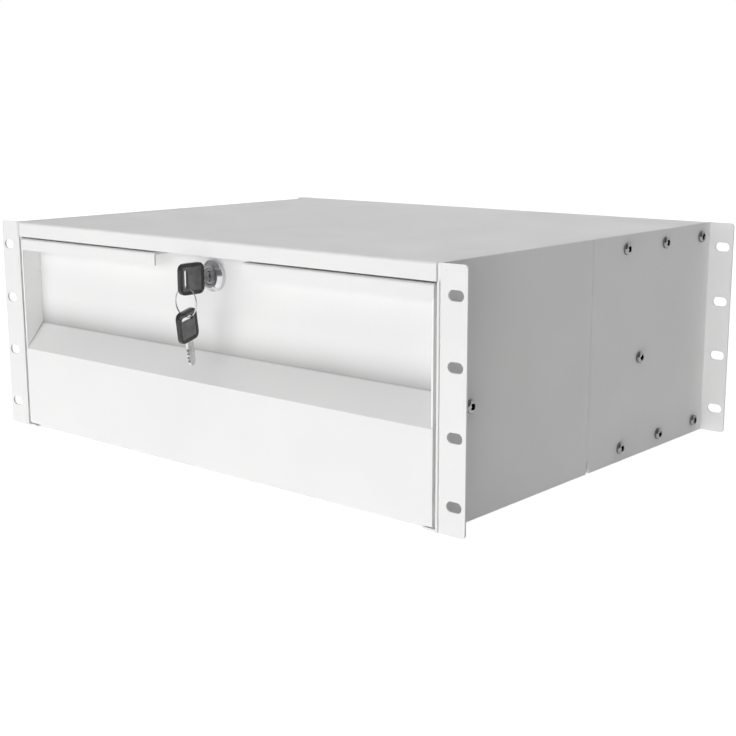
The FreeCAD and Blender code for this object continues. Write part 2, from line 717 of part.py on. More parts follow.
def make_inner_rails():
    """Roll the inner rail, whose web is screwed to the tray's wall."""
    body = new_body("right_inner_rail")
    pad(body, "channel", "XZ", "slide_front", f"{SLIDE_LENGTH} - rail_short",
        (add_polygon, *rail_outline("slide_width", "inner_flange", INNER_HALF, "rail_metal", False)))
    bend_rail(body, "slide_width", INNER_HALF, "rail_metal", False)
    roll_races(body, "races", INNER_BALL_ROW, "inner_ball_place")
    tray_screw_holes(body)
    mirror(body, "left_inner_rail")
    screws = new_body("right_tray_screws")
    screw = turn_screw(screws, "tray_head_width", "tray_head_rise", "tray_screw_length")
    repeat(screws, "screws", screw, ("Y", TRAY_SCREWS_PER_SIDE, TRAY_SCREW_SPAN))
    place(screws, f"{TRAY_WALL} + rail_metal", TRAY_SCREW_FRONT, SLIDE_LEVEL)
    mirror(screws, "left_tray_screws")


def tray_screw_holes(body):
    """Cut the holes of the tray screws through both side walls of a body."""
    hole = cut(body, "tray_hole", "YZ", negative(f"{TRAY_WALL} + slide_width"),
               f"2 * ({TRAY_WALL} + slide_width)",
               (add_circle, TRAY_SCREW_FRONT, SLIDE_LEVEL, "screw_hole / 2"))
    repeat(body, "tray_holes", hole, ("Y", TRAY_SCREWS_PER_SIDE, TRAY_SCREW_SPAN))


def make_ball_cage(name, web, flange_end, ball_row, ball_place):
    """Press a ball cage and set its balls: two rows, each ball in a hole of a flange."""
    cage = new_body(f"right_{name}_cage")
    half = f"({ball_row} + cage_metal / 2)"
    cage_front = "(slide_front + cage_start)"
    pad(cage, "channel", "XZ", cage_front, "cage_length",
        (add_polygon, *rail_outline(web, flange_end, half, "cage_metal")))
    bend_rail(cage, web, half, "cage_metal")
    first_ball = f"({cage_front} + cage_length / 2 - {(BALLS_PER_ROW - 1) / 2} * ball_pitch)"
    ball_x = f"({INNER_WALL} - {ball_place})"
    hole = cut(cage, "ball_hole", "XY", f"{SLIDE_LEVEL} - {half}", f"2 * {half}",
               (add_circle, ball_x, first_ball, "ball_size / 2 + ball_gap"))
    repeat(cage, "ball_holes", hole, ("Y", BALLS_PER_ROW, f"{BALLS_PER_ROW - 1} * ball_pitch"))
    cut(cage, "web_window", "YZ", f"{INNER_WALL} - slide_width", "slide_width",
        (add_box, f"{first_ball} + ball_size", f"{SLIDE_LEVEL} - cage_window_height / 2",
         f"{first_ball} + ball_pitch - ball_size", f"{SLIDE_LEVEL} + cage_window_height / 2"))
    mirror(cage, f"left_{name}_cage")
    balls = []
    for row in (negative(ball_row), ball_row):
        for number in range(BALLS_PER_ROW):
            ball = doc.addObject("Part::Sphere", f"{name}_ball")
            bind(ball, "Radius", "ball_size / 2")
            place(ball, ball_x, f"{first_ball} + {number} * ball_pitch", f"{SLIDE_LEVEL} + {row}")
            balls.append(ball)
    group = doc.addObject("Part::Compound", f"right_{name}_balls")
    group.Links = balls
    doc.recompute()
    node(group, f"right_{name}_balls")
    mirror(group, f"left_{name}_balls")


def make_slide_screws():
    """Make the two screws that hold each slide to the case side, through a bracket."""
    for name, column in zip(("front", "rear"), SLIDE_SCREW_COLUMNS):
        body = new_body(f"right_{name}_slide_screw")
        turn_screw(body, "head_width", "head_rise", "(2 * sheet_metal + rail_metal)")
        place(body, SIDE_FACE, column, SLIDE_LEVEL)
        mirror(body, f"left_{name}_slide_screw")


def make_drawer_front():
    """Fold the drawer front: bottom return, fascia, slope, recess panel, roof and hanging strip."""
    body = new_body("drawer_front")
    low_shift, high_shift = f"{FASCIA_TOP} - {SLOPE_SHIFT}", f"{SLOPE_TOP} - {SLOPE_SHIFT}"
    metal = "sheet_metal"
    pad(body, "fold", "YZ", negative(FRONT_EDGE), f"2 * {FRONT_EDGE}",
        (add_polygon, ("front_return", FRONT_BOTTOM), ("0", FRONT_BOTTOM), ("0", FASCIA_TOP),
         ("recess_depth", SLOPE_TOP), ("recess_depth", ROOF_BOTTOM), (metal, ROOF_BOTTOM),
         (metal, STRIP_BOTTOM), ("0", STRIP_BOTTOM), ("0", ROOF_TOP), (PANEL_BACK, ROOF_TOP),
         (PANEL_BACK, high_shift), (metal, low_shift), (metal, TRAY_FLOOR), ("front_return", TRAY_FLOOR)))
    bend(body, "outer_bends", BEND_OUTER,
         (None, "0", FRONT_BOTTOM), (None, "0", ROOF_TOP), (None, PANEL_BACK, ROOF_TOP))
    bend(body, "inner_bends", "bend_inner",
         (None, metal, TRAY_FLOOR), (None, metal, ROOF_BOTTOM), (None, "recess_depth", ROOF_BOTTOM))
    bend(body, "slope_bends", "bend_inner", (None, "0", FASCIA_TOP), (None, "recess_depth", SLOPE_TOP))
    cut(body, "lock_cutaway", "XZ", "0", "recess_depth",
        (add_box, "-cutaway_width / 2", STRIP_BOTTOM, "cutaway_width / 2", ROOF_TOP))
    cut(body, "lock_hole", "XZ", "recess_depth", metal,
        (add_circle, "0", LOCK_LEVEL, "(barrel_width + lock_fit) / 2"))
    cheek = new_body("right_recess_cheek")
    pad(cheek, "plate", "YZ", f"{FRONT_EDGE} - sheet_metal", metal,
        (add_polygon, ("0", f"{FASCIA_TOP} + bend_inner"), ("recess_depth", f"{SLOPE_TOP} + bend_inner"),
         ("recess_depth", f"{ROOF_BOTTOM} - bend_inner"), ("recess_depth - bend_inner", ROOF_BOTTOM),
         (f"{metal} + bend_inner", ROOF_BOTTOM), (metal, f"{ROOF_BOTTOM} - bend_inner"),
         (metal, STRIP_BOTTOM), ("0", STRIP_BOTTOM)))
    mirror(cheek, "left_recess_cheek")
    plate = new_body("right_end_plate")
    low_inset = f"{TRAY_FLOOR} + bend_inner"
    pad(plate, "plate", "YZ", f"{FRONT_EDGE} - sheet_metal", metal,
        (add_polygon, (f"{metal} + bend_inner", TRAY_FLOOR), (PANEL_BACK, TRAY_FLOOR),
         (PANEL_BACK, high_shift), (metal, low_shift), (metal, low_inset)))
    mirror(plate, "left_end_plate")


def make_tray():
    """Fold the tray's floor and hemmed sides, and its front and rear walls with a hem of their own."""
    body = new_body("drawer_tray")
    wall, metal = TRAY_WALL, "tray_metal"
    face = f"({wall} - {metal})"
    hem = f"({wall} - tray_hem)"
    rim = TRAY_RIM
    left, left_face, left_hem = negative(wall), negative(face), negative(hem)
    pad(body, "trough", "XZ", PANEL_BACK, f"{TRAY_BACK} - {PANEL_BACK}",
        (add_polygon, (left, TRAY_FLOOR), (wall, TRAY_FLOOR), (wall, rim), (hem, rim),
         (hem, f"{rim} - {metal}"), (face, f"{rim} - {metal}"), (face, f"{TRAY_FLOOR} + {metal}"),
         (left_face, f"{TRAY_FLOOR} + {metal}"), (left_face, f"{rim} - {metal}"),
         (left_hem, f"{rim} - {metal}"), (left_hem, rim), (left, rim)))
    bend(body, "outer_bends", f"bend_inner + {metal}", (wall, None, rim), (left, None, rim),
         (wall, None, TRAY_FLOOR), (left, None, TRAY_FLOOR))
    tray_screw_holes(body)
    floor_top = f"({TRAY_FLOOR} + {metal})"
    for name, face_y, step in (("front", PANEL_BACK, "+"), ("rear", TRAY_BACK, "-")):
        end = new_body(f"tray_{name}_wall")
        start = face_y if step == "+" else f"{face_y} - {metal}"
        pad(end, "wall", "XZ", start, metal, (add_box, left_face, floor_top, face, f"{rim} - {metal}"))
        hem_start = face_y if step == "+" else f"{face_y} - tray_hem"
        pad(end, "hem", "XZ", hem_start, "tray_hem", (add_box, left_hem, f"{rim} - {metal}", hem, rim))
        bend(end, "hem_bend", metal, (None, face_y, rim))


def make_lock():
    """Make the lock's body, its nut, the plug with its keyway, the cam and the cam screw."""
    body = new_body("lock_body")
    pad(body, "bezel", "XZ", BEZEL_FACE, "bezel_rise", (add_circle, "0", "0", "bezel_width / 2"))
    bevel(body, "bezel_edge", "bezel_bevel", rims_at(body.Shape, 1, BEZEL_FACE, "bezel_width / 2"))
    pad(body, "barrel", "XZ", "recess_depth", "barrel_length", (add_circle, "0", "0", "barrel_width / 2"))
    radius, flat = "barrel_width / 2", "barrel_flats / 2"
    cut(body, "barrel_flats", "XZ", PANEL_BACK, "barrel_length",
        (add_box, flat, negative(radius), radius, radius),
        (add_box, negative(radius), negative(radius), negative(flat), radius))
    cut(body, "bore", "XZ", BEZEL_FACE, "bezel_rise + barrel_length",
        (add_circle, "0", "0", "plug_width / 2 + plug_gap"))
    place(body, z=LOCK_LEVEL)
    nut = new_body("lock_nut")
    half, point = "lock_nut_width / 2", "lock_nut_width / sqrt(3)"
    pad(nut, "hexagon", "XZ", PANEL_BACK, "lock_nut_rise",
        (add_polygon, ("0", point), (f"-{half}", f"{point} / 2"), (f"-{half}", f"-{point} / 2"),
         ("0", f"-{point}"), (half, f"-{point} / 2"), (half, f"{point} / 2")),
        (add_circle, "0", "0", "(barrel_width + lock_fit) / 2"))
    place(nut, z=LOCK_LEVEL)
    plug = new_body("lock_plug")
    pad(plug, "cylinder", "XZ", PLUG_FACE, f"{CAM_FACE} - {PLUG_FACE}",
        (add_circle, "0", "0", "plug_width / 2"))
    square = "cam_square / 2"
    pad(plug, "square", "XZ", CAM_FACE, "cam_metal",
        (add_box, negative(square), negative(square), square, square))
    key_half, key_side = "(blade_height / 2 + key_gap)", "(blade_thickness / 2 + key_gap)"
    cut(plug, "keyway", "XZ", PLUG_FACE, "blade_length - blade_show + 2 * key_gap",
        (add_box, negative(key_side), negative(key_half), key_side, key_half))
    cut(plug, "screw_bore", "XZ", f"{CAM_FACE} + cam_metal - cam_screw_length", "cam_screw_length",
        (add_circle, "0", "0", "nut_bore / 2"))
    place(plug, z=LOCK_LEVEL)
    cam = new_body("lock_cam")
    reach, side = negative("cam_length"), "cam_width / 2"
    pad(cam, "arm", "XZ", CAM_FACE, "cam_metal", (add_box, reach, negative(side), side, side))
    bend(cam, "ends", f"{side} - bend_inner", (side, None, side), (side, None, negative(side)))
    bend(cam, "tip", "cam_metal", (reach, None, side), (reach, None, negative(side)))
    cut(cam, "square_hole", "XZ", CAM_FACE, "cam_metal",
        (add_box, negative(square), negative(square), square, square))
    place(cam, z=LOCK_LEVEL)
    screw = new_body("cam_screw")
    turn(screw, "screw",
         ("cam_head_rise", "0"), ("cam_head_rise", "cam_head_width / 2 - head_bevel"),
         ("0", "cam_head_width / 2"),
         ("0", "screw_size / 2"), ("key_gap - cam_screw_length", "screw_size / 2"),
         ("key_gap - cam_screw_length", "0"))
    screw.Placement = Placement(Vector(), Rotation(Vector(0, 0, 1), 90))
    place(screw, y=f"{CAM_FACE} + cam_metal", z=LOCK_LEVEL)


def make_strike():
    """Fold the angle under the top that the cam turns up behind, and set its rivets."""
    body = new_body("lock_strike")
    half = "strike_width / 2"
    leg, rear = "strike_front + strike_reach - sheet_metal", "strike_front + strike_reach"
    under, foot = f"{CEILING} - sheet_metal", f"{CEILING} - strike_drop"
    pad(body, "angle", "YZ", negative(half), "strike_width",
        (add_polygon, ("strike_front", CEILING), ("strike_front", under), (leg, under), (leg, foot),
         (rear, foot), (rear, CEILING)))
    bend(body, "outer_bend", BEND_OUTER, (None, rear, CEILING))
    bend(body, "inner_bend", "bend_inner", (None, leg, under))
    bend(body, "foot_corners", "2 * sheet_metal", (negative(half), None, foot), (half, None, foot))
    rivet_y = "strike_front + rivet_width / 2 + sheet_metal"
    rivets = new_body("strike_rivets")
    first = pad(rivets, "head", "XY", f"{under} - rivet_rise", "rivet_rise",
                (add_circle, "-rivet_pitch / 2", rivet_y, "rivet_width / 2"))
    repeat(rivets, "heads", first, ("X", 2, "rivet_pitch"))
    rims = rims_at(rivets.Shape, 2, f"{under} - rivet_rise", "rivet_width / 2")
    bevel(rivets, "head_bevels", "rivet_rise / 2", rims)


def make_key(name, turned):
    """Make one key, a moulded bow over a steel blade, and place it by the centre of its slot."""
    start, end, half = negative("bow_slot_place"), BOW_END, "bow_height / 2"
    side, inset = "bow_thickness / 2", "bow_thickness / 2 - bow_inset"
    bow = new_body(f"{name}_bow")
    pad(bow, "plate", "YZ", negative(side), "bow_thickness", (add_box, start, negative(half), end, half))
    corner_lines = [(None, y, z) for y in (start, end) for z in (half, negative(half))]
    bend(bow, "corners", "bow_corner", *corner_lines)
    window = (add_box, f"{start} + bow_rim", f"{negative(half)} + bow_rim",
              f"{end} - bow_rim", f"{half} - bow_rim")
    cut(bow, "right_inset", "YZ", inset, "bow_inset", window)
    cut(bow, "left_inset", "YZ", negative(side), "bow_inset", window)
    cut(bow, "ring_slot", "YZ", negative(side), "bow_thickness",
        (add_slot, "0", "0", "bow_slot_length", "bow_slot_width", True))
    blade_half, blade_side = "blade_height / 2", "blade_thickness / 2"
    root = f"({end} - blade_root)"
    cut(bow, "blade_socket", "XZ", root, "blade_root",
        (add_box, negative(blade_side), negative(blade_half), blade_side, blade_half))
    tip = f"({end} + blade_length)"
    corners = [(root, blade_half), (root, negative(blade_half))]
    for number, depth in enumerate(BIT_DEPTHS, start=1):
        valley = f"({tip} - blade_point - ({len(BIT_DEPTHS)} - {number} + 0.5) * bit_pitch)"
        corners += [(f"{valley} - bit_pitch / 2", negative(blade_half)),
                    (valley, f"{negative(blade_half)} + {depth}")]
    corners += [(f"{tip} - blade_point", negative(blade_half)), (tip, f"-{blade_half} / 2"),
                (tip, f"{blade_half} / 2"), (f"{tip} - blade_point", blade_half)]
    blade = new_body(f"{name}_blade")
    pad(blade, "steel", "YZ", negative(blade_side), "blade_thickness", (add_polygon, *corners))
    turned_round = Rotation(Vector(0, 0, 1), value("spare_turn"))
    hanging = turned_round * Rotation(Vector(1, 0, 0), value("spare_lean") - 90)
    for item in (bow, blade):
        if turned:
            item.Placement = Placement(Vector(), hanging)
        place(item, y=BOW_SLOT_Y, z=SPARE_SLOT if turned else LOCK_LEVEL)


def make_ring():
    """Wind the flat ring that hangs in the slot of the inserted key."""
    ring = new_body("key_ring")
    pad(ring, "band", "XZ", "-ring_width / 2", "ring_width",
        (add_circle, "0", "0", "ring_radius + ring_metal / 2"),
        (add_circle, "0", "0", "ring_radius - ring_metal / 2"))
    place(ring, y=BOW_SLOT_Y, z=RING_CENTRE)


def check_document():
    """Stop if any object failed or any node has no valid shape."""
    doc.recompute()
    for item in doc.Objects:
        if "Invalid" in item.State or "Error" in item.State:
            raise RuntimeError(f"{item.Label} failed: {item.State}")
    for item in NODES:
        if item.Shape.isNull() or not item.Shape.isValid() or not item.Shape.Solids:
            raise RuntimeError(f"{item.Label} has no valid solid")


def write_nodes():
    """Write one STEP file for each node and report its solids and size."""
    os.makedirs("parts", exist_ok=True)
    for item in NODES:
        item.Shape.exportStep(f"parts/{item.Label}.step")
        box = item.Shape.BoundBox
        print(f"{item.Label}: {len(item.Shape.Solids)} solids, "
              f"{box.XLength:.1f} x {box.YLength:.1f} x {box.ZLength:.1f} mm")


make_case_shell()
make_base_pan()
make_rear_panel()
make_brackets()
make_bracket_fasteners()
make_outer_rails()
make_slide_screws()
make_strike()
make_middle_rails()
make_ball_cage("outer", OUTER_CAGE_WEB, "outer_cage_flange", OUTER_BALL_ROW, "outer_ball_place")
make_ball_cage("inner", INNER_CAGE_WEB, "inner_cage_flange", INNER_BALL_ROW, "inner_ball_place")
make_drawer_front()
make_tray()
make_inner_rails()
make_lock()
make_key("key", turned=False)
make_ring()
make_key("spare_key", turned=True)
check_document()
write_nodes()
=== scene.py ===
"""Looks of the sliding rack drawer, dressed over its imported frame, in metres."""

import json
import logging
import math
from collections.abc import Sequence
from dataclasses import dataclass, replace
from enum import Enum

import bmesh
import bpy
from mathutils import Euler, Matrix, Vector

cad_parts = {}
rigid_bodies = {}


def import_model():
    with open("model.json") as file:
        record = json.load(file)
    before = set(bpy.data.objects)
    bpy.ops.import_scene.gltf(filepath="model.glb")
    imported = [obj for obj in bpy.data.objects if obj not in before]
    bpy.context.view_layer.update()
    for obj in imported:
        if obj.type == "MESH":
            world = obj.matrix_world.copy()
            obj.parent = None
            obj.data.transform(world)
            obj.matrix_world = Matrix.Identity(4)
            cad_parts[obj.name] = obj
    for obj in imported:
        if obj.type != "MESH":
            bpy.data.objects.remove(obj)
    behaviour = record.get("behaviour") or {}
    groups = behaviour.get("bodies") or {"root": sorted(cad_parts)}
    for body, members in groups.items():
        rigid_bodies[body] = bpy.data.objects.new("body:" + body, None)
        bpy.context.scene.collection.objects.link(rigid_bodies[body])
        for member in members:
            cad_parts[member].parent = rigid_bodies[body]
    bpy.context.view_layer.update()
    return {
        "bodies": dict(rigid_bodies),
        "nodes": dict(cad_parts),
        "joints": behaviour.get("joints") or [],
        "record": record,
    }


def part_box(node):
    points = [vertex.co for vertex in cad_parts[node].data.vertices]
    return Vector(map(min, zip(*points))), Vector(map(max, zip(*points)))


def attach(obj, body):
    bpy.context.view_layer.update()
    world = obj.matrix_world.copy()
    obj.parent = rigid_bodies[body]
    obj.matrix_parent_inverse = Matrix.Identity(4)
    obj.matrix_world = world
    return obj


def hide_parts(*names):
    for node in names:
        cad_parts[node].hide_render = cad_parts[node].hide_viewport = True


LOG = logging.getLogger("rack_drawer")
MM = 0.001
FULL_ROLL = 6.283
WHOLE = (0.0, 1.0)
MIDDLE = (0.3, 0.7)
RUBBED = (0.42, 0.62)
QUARTER_TURN = tuple(math.radians(15 * step) for step in range(7))
TURNED_LIMIT = 50.0
ROUND_LIMIT = 60.0
FLAT_LIMIT = math.radians(0.5)
JOIN_DISTANCE = 2e-6
TINY = 1e-7
WHITE = (1.0, 1.0, 1.0, 1.0)
FRAME: dict = {}
Point = tuple[float, float]
Colour = tuple[float, float, float]
Spot = tuple[float, float, float]
Piece = bpy.types.Object
Mesh = bpy.types.Mesh
Material = bpy.types.Material
Tree = bpy.types.NodeTree
Node = bpy.types.Node
Socket = bpy.types.NodeSocket
Input = Socket | float | Sequence[float]
Inputs = dict[str | int, Input]


class Facing(Enum):
    """The way a fastener's head looks, as a turn of a template that looks along +X."""

    RIGHT = (0.0, 0.0, 0.0)
    LEFT = (0.0, 0.0, math.pi)
    DOWN = (0.0, math.pi / 2, 0.0)
    BACK = (0.0, 0.0, math.pi / 2)


@dataclass(frozen=True)
class Side:
    """One side of the drawer: its sign on X and the ways that fasteners look on it."""

    name: str
    sign: int
    outward: Facing
    inward: Facing


SIDES = (Side("right", 1, Facing.RIGHT, Facing.LEFT), Side("left", -1, Facing.LEFT, Facing.RIGHT))


# Finishes


class Nodes:
    """A node tree while it is put together."""

    def __init__(self, tree: Tree) -> None:
        """Keep the tree."""
        self.tree = tree

    def feed(self, node: Node, given: Inputs) -> Node:
        """Set inputs of a node.

        Args:
            node: The node.
            given: The value of each input, by its name or number, or the socket that gives it.

        Returns:
            The node.
        """
        for name, value in given.items():
            if isinstance(value, Socket):
                self.tree.links.new(value, node.inputs[name])
            else:
                node.inputs[name].default_value = value
        return node

    def add(self, kind: str, given: Inputs | None = None) -> Node:
        """Add a node of a kind and set its inputs."""
        return self.feed(self.tree.nodes.new(kind), given or {})

    def maths(self, operation: str, first: Input, second: Input) -> Socket:
        """Work out two values.

        Args:
            operation: What is done with them.
            first: The first value, or the socket that gives it.
            second: The second value, or the socket that gives it.

        Returns:
            The result.
        """
        node = self.add("ShaderNodeMath", {0: first, 1: second})
        node.operation = operation
        return node.outputs["Value"]

    def times(self, first: Input, second: Input) -> Socket:
        """Return the product of two values."""
        return self.maths("MULTIPLY", first, second)

    def spread(self, source: Socket, wanted: Point = WHOLE, given: Point = MIDDLE) -> Socket:
        """Stretch a value from the given range to the wanted one and hold it there."""
        ends = dict(zip(("From Min", "From Max", "To Min", "To Max"), (*given, *wanted)))
        return self.add("ShaderNodeMapRange", {"Value": source, **ends}).outputs["Result"]

    def seen(self) -> Socket:
        """Return one where the camera, a reflection or a clear piece sees a surface, else nothing."""
        path = self.add("ShaderNodeLightPath").outputs
        clear = self.maths("MAXIMUM", path["Is Glossy Ray"], path["Is Transmission Ray"])
        return self.maths("MAXIMUM", path["Is Camera Ray"], clear)


class Recipe(Nodes):
    """The node tree of one finish while it is put together."""

    def __init__(self, name: str) -> None:
        """Start an empty material that ends in one surface shader.

        Args:
            name: The finish's name.
        """
        self.material = bpy.data.materials.new(name)
        self.material.use_nodes = True
        super().__init__(self.material.node_tree)
        self.shader = self.tree.nodes["Principled BSDF"]
        self.place = self.add("ShaderNodeTexCoord").outputs["Object"]

    def stretched(self, scale: Sequence[float]) -> Socket:
        """Return object coordinates that are scaled by one factor for each axis."""
        return self.add("ShaderNodeMapping", {"Scale": scale, "Vector": self.place}).outputs["Vector"]

    def noise(self, scale: float, detail: float = 3.0, place: Socket | None = None) -> Socket:
        """Return a noise of so many bumps in a metre and octaves of finer ones, in place or elsewhere."""
        sizes = {"Scale": scale, "Detail": detail, "Vector": place or self.place}
        return self.add("ShaderNodeTexNoise", sizes).outputs["Fac"]

    def height(self) -> Socket:
        """Return the height of a point, in metres."""
        return self.add("ShaderNodeSeparateXYZ", {"Vector": self.place}).outputs["Z"]

    def crystals(self, scale: float) -> Socket:
        """Return a grey value that is constant on each crystal of a plated surface."""
        texture = self.add("ShaderNodeTexVoronoi", {"Scale": scale, "Vector": self.place})
        split = self.add("ShaderNodeSeparateColor", {"Color": texture.outputs["Color"]})
        return split.outputs["Red"]

    def mix(self, share: Socket, first: Colour | Socket, second: Colour) -> Socket:
        """Mix a colour over another.

        Args:
            share: How much of the second colour shows.
            first: The colour below, or a socket that gives it.
            second: The colour above.

        Returns:
            The mixed colour.
        """
        blend = self.add("ShaderNodeMix")
        blend.data_type = "RGBA"
        below = first if isinstance(first, Socket) else (*first, 1.0)
        return self.feed(blend, {"Factor": share, 6: below, 7: (*second, 1.0)}).outputs[2]

    def worn_edges(self, scale: float) -> Socket:
        """Return where the softened edges of a piece are rubbed, patch by patch."""
        edge = self.add("ShaderNodeAttribute")
        edge.attribute_name = "edge"
        return self.times(edge.outputs["Fac"], self.spread(self.noise(scale), WHOLE, RUBBED))

    def bump(self, height: Socket, depth: float, strength: float) -> None:
        """Raise the surface by a height texture, to a depth in metres and a share of it that shows."""
        relief = self.add("ShaderNodeBump", {"Strength": strength, "Distance": depth, "Height": height})
        self.feed(self.shader, {"Normal": relief.outputs["Normal"]})

    def surface(self, colour: Socket, roughness: Socket, metal: float, gloss: float = 0.5) -> Material:
        """Set the colour, the roughness, how metallic the surface is and its gloss, and return it."""
        self.feed(self.shader, {"Base Color": colour, "Roughness": roughness, "Metallic": metal,
                                "Specular IOR Level": gloss})
        return self.material


@dataclass(frozen=True)
class PowderCoat:
    """Baked white powder paint: a faint orange peel, and edges rubbed a little thinner."""

    name: str = "powder_coat"
    colour: Colour = (0.86, 0.86, 0.855)
    shade: Colour = (0.825, 0.828, 0.825)
    rubbed: Colour = (0.70, 0.71, 0.72)
    clouds: float = 9.0
    specks: float = 420.0
    speck_range: Point = (0.68, 0.74)
    speck_share: float = 0.35
    rubbing: float = 160.0
    rubbed_share: float = 0.55
    peel: float = 1300.0
    peel_depth: float = 0.06 * MM
    peel_strength: float = 0.35
    patches: float = 30.0
    roughness: Point = (0.42, 0.56)
    gloss: float = 0.4

    def make(self) -> Material:
        """Return the paint's material."""
        recipe = Recipe(self.name)
        cloud = recipe.mix(recipe.spread(recipe.noise(self.clouds)), self.colour, self.shade)
        specks = recipe.noise(self.specks, detail=2.0)
        shown = recipe.spread(specks, (0.0, self.speck_share), self.speck_range)
        flecked = recipe.mix(shown, cloud, self.rubbed)
        edges = recipe.spread(recipe.worn_edges(self.rubbing), (0.0, self.rubbed_share), WHOLE)
        worn = recipe.mix(edges, flecked, self.rubbed)
        recipe.bump(recipe.noise(self.peel, detail=2.0), self.peel_depth, self.peel_strength)
        roughness = recipe.spread(recipe.noise(self.patches), self.roughness)
        return recipe.surface(self.with_painted_shade(recipe, worn), roughness, metal=0.0, gloss=self.gloss)

    def with_painted_shade(self, recipe: Recipe, colour: Socket) -> Socket:
        """Return the colour as it is where no shade is painted on the paint."""
        return colour


@dataclass(frozen=True)
class RecessShadedPaint(PowderCoat):
    """The same paint with a soft grey shade painted into the bend above the recess's slope, where the bend
    lies in shade.
    """

    name: str = "recess_paint"
    painted_shade: Colour = (0.15, 0.15, 0.149)
    bend_level: float = 1.0 * MM
    reach_up: float = 26.0 * MM
    reach_down: float = 1.5 * MM
    shade_patches: float = 14.0
    shade_patch_share: Point = (0.55, 0.65)

    def with_painted_shade(self, recipe: Recipe, colour: Socket) -> Socket:
        """Return the colour with painted shade mixed over it, darkest at the bend."""
        # Painted shade: darkest at the bend, fading up the panel and down the slope, in uneven patches.
        level = recipe.height()
        above = recipe.spread(level, (1.0, 0.0), (self.bend_level, self.bend_level + self.reach_up))
        below = recipe.spread(level, WHOLE, (self.bend_level - self.reach_down, self.bend_level))
        near = recipe.times(above, below)
        shade_patches = recipe.spread(recipe.noise(self.shade_patches), self.shade_patch_share)
        return recipe.mix(recipe.times(near, recipe.times(near, shade_patches)), colour, self.painted_shade)


@dataclass(frozen=True)
class PlatedSteel:
    """Zinc-plated sheet: pale crystals, a grain along the rolling direction and rubbed edges."""

    name: str = "zinc_steel"
    colour: Colour = (0.60, 0.62, 0.65)
    shade: Colour = (0.48, 0.50, 0.54)
    rubbed: Colour = (0.74, 0.75, 0.76)
    grain: Spot = (1.0, 0.03, 1.0)
    streaks: float = 900.0
    streak_range: Point = (0.4, 0.7)
    streak_share: float = 0.5
    streak_depth: float = 0.03 * MM
    streak_strength: float = 0.25
    crystals: float = 180.0
    crystal_share: float = 0.6
    rubbing: float = 300.0
    roughness: Point = (0.24, 0.42)

    def make(self) -> Material:
        """Return the plating's material."""
        recipe = Recipe(self.name)
        streaks = recipe.noise(self.streaks, detail=4.0, place=recipe.stretched(self.grain))
        crystals = recipe.spread(recipe.crystals(self.crystals), (0.0, self.crystal_share), WHOLE)
        plated = recipe.mix(crystals, self.colour, self.shade)
        lines = recipe.spread(streaks, (0.0, self.streak_share), self.streak_range)
        streaked = recipe.mix(lines, plated, self.shade)
        colour = recipe.mix(recipe.worn_edges(self.rubbing), streaked, self.rubbed)
        recipe.bump(streaks, self.streak_depth, self.streak_strength)
        return recipe.surface(colour, recipe.spread(streaks, self.roughness), metal=1.0)


@dataclass(frozen=True)
class DarkFinish:
    """A dark finish of fine grain: blackened screws, moulded plastic or rubber."""

    name: str
    colour: Colour
    shade: Colour
    rubbed: Colour
    grain: float
    depth: float
    roughness: Point
    metal: float = 0.0
    gloss: float = 0.5
    clouds: float = 120.0
    rubbing: float = 500.0
    relief: float = 0.4

    def make(self) -> Material:
        """Return the finish's material."""
        recipe = Recipe(self.name)
        grain = recipe.noise(self.grain)
        cloud = recipe.mix(recipe.spread(recipe.noise(self.clouds)), self.colour, self.shade)
        colour = recipe.mix(recipe.worn_edges(self.rubbing), cloud, self.rubbed)
        recipe.bump(grain, self.depth, self.relief)
        return recipe.surface(colour, recipe.spread(grain, self.roughness), self.metal, self.gloss)


@dataclass(frozen=True)
class BrightMetal:
    """Bright turned or drawn metal with fine scratches in every direction."""

    name: str
    colour: Colour
    shade: Colour
    roughness: Point
    scratches: float = 4000.0
    scratch_run: float = 0.08
    scratch_range: Point = (0.15, 0.4)
    depth: float = 0.004 * MM
    relief: float = 0.3
    clouds: float = 200.0

    def make(self) -> Material:
        """Return the metal's material."""
        recipe = Recipe(self.name)
        across, along = (recipe.noise(self.scratches, detail=2.0, place=recipe.stretched(scale))
                         for scale in ((1.0, 1.0, self.scratch_run), (self.scratch_run, 1.0, 1.0)))
        scratches = recipe.times(across, along)
        colour = recipe.mix(recipe.spread(recipe.noise(self.clouds)), self.colour, self.shade)
        recipe.bump(scratches, self.depth, self.relief)
        roughness = recipe.spread(scratches, self.roughness, self.scratch_range)
        return recipe.surface(colour, roughness, metal=1.0)


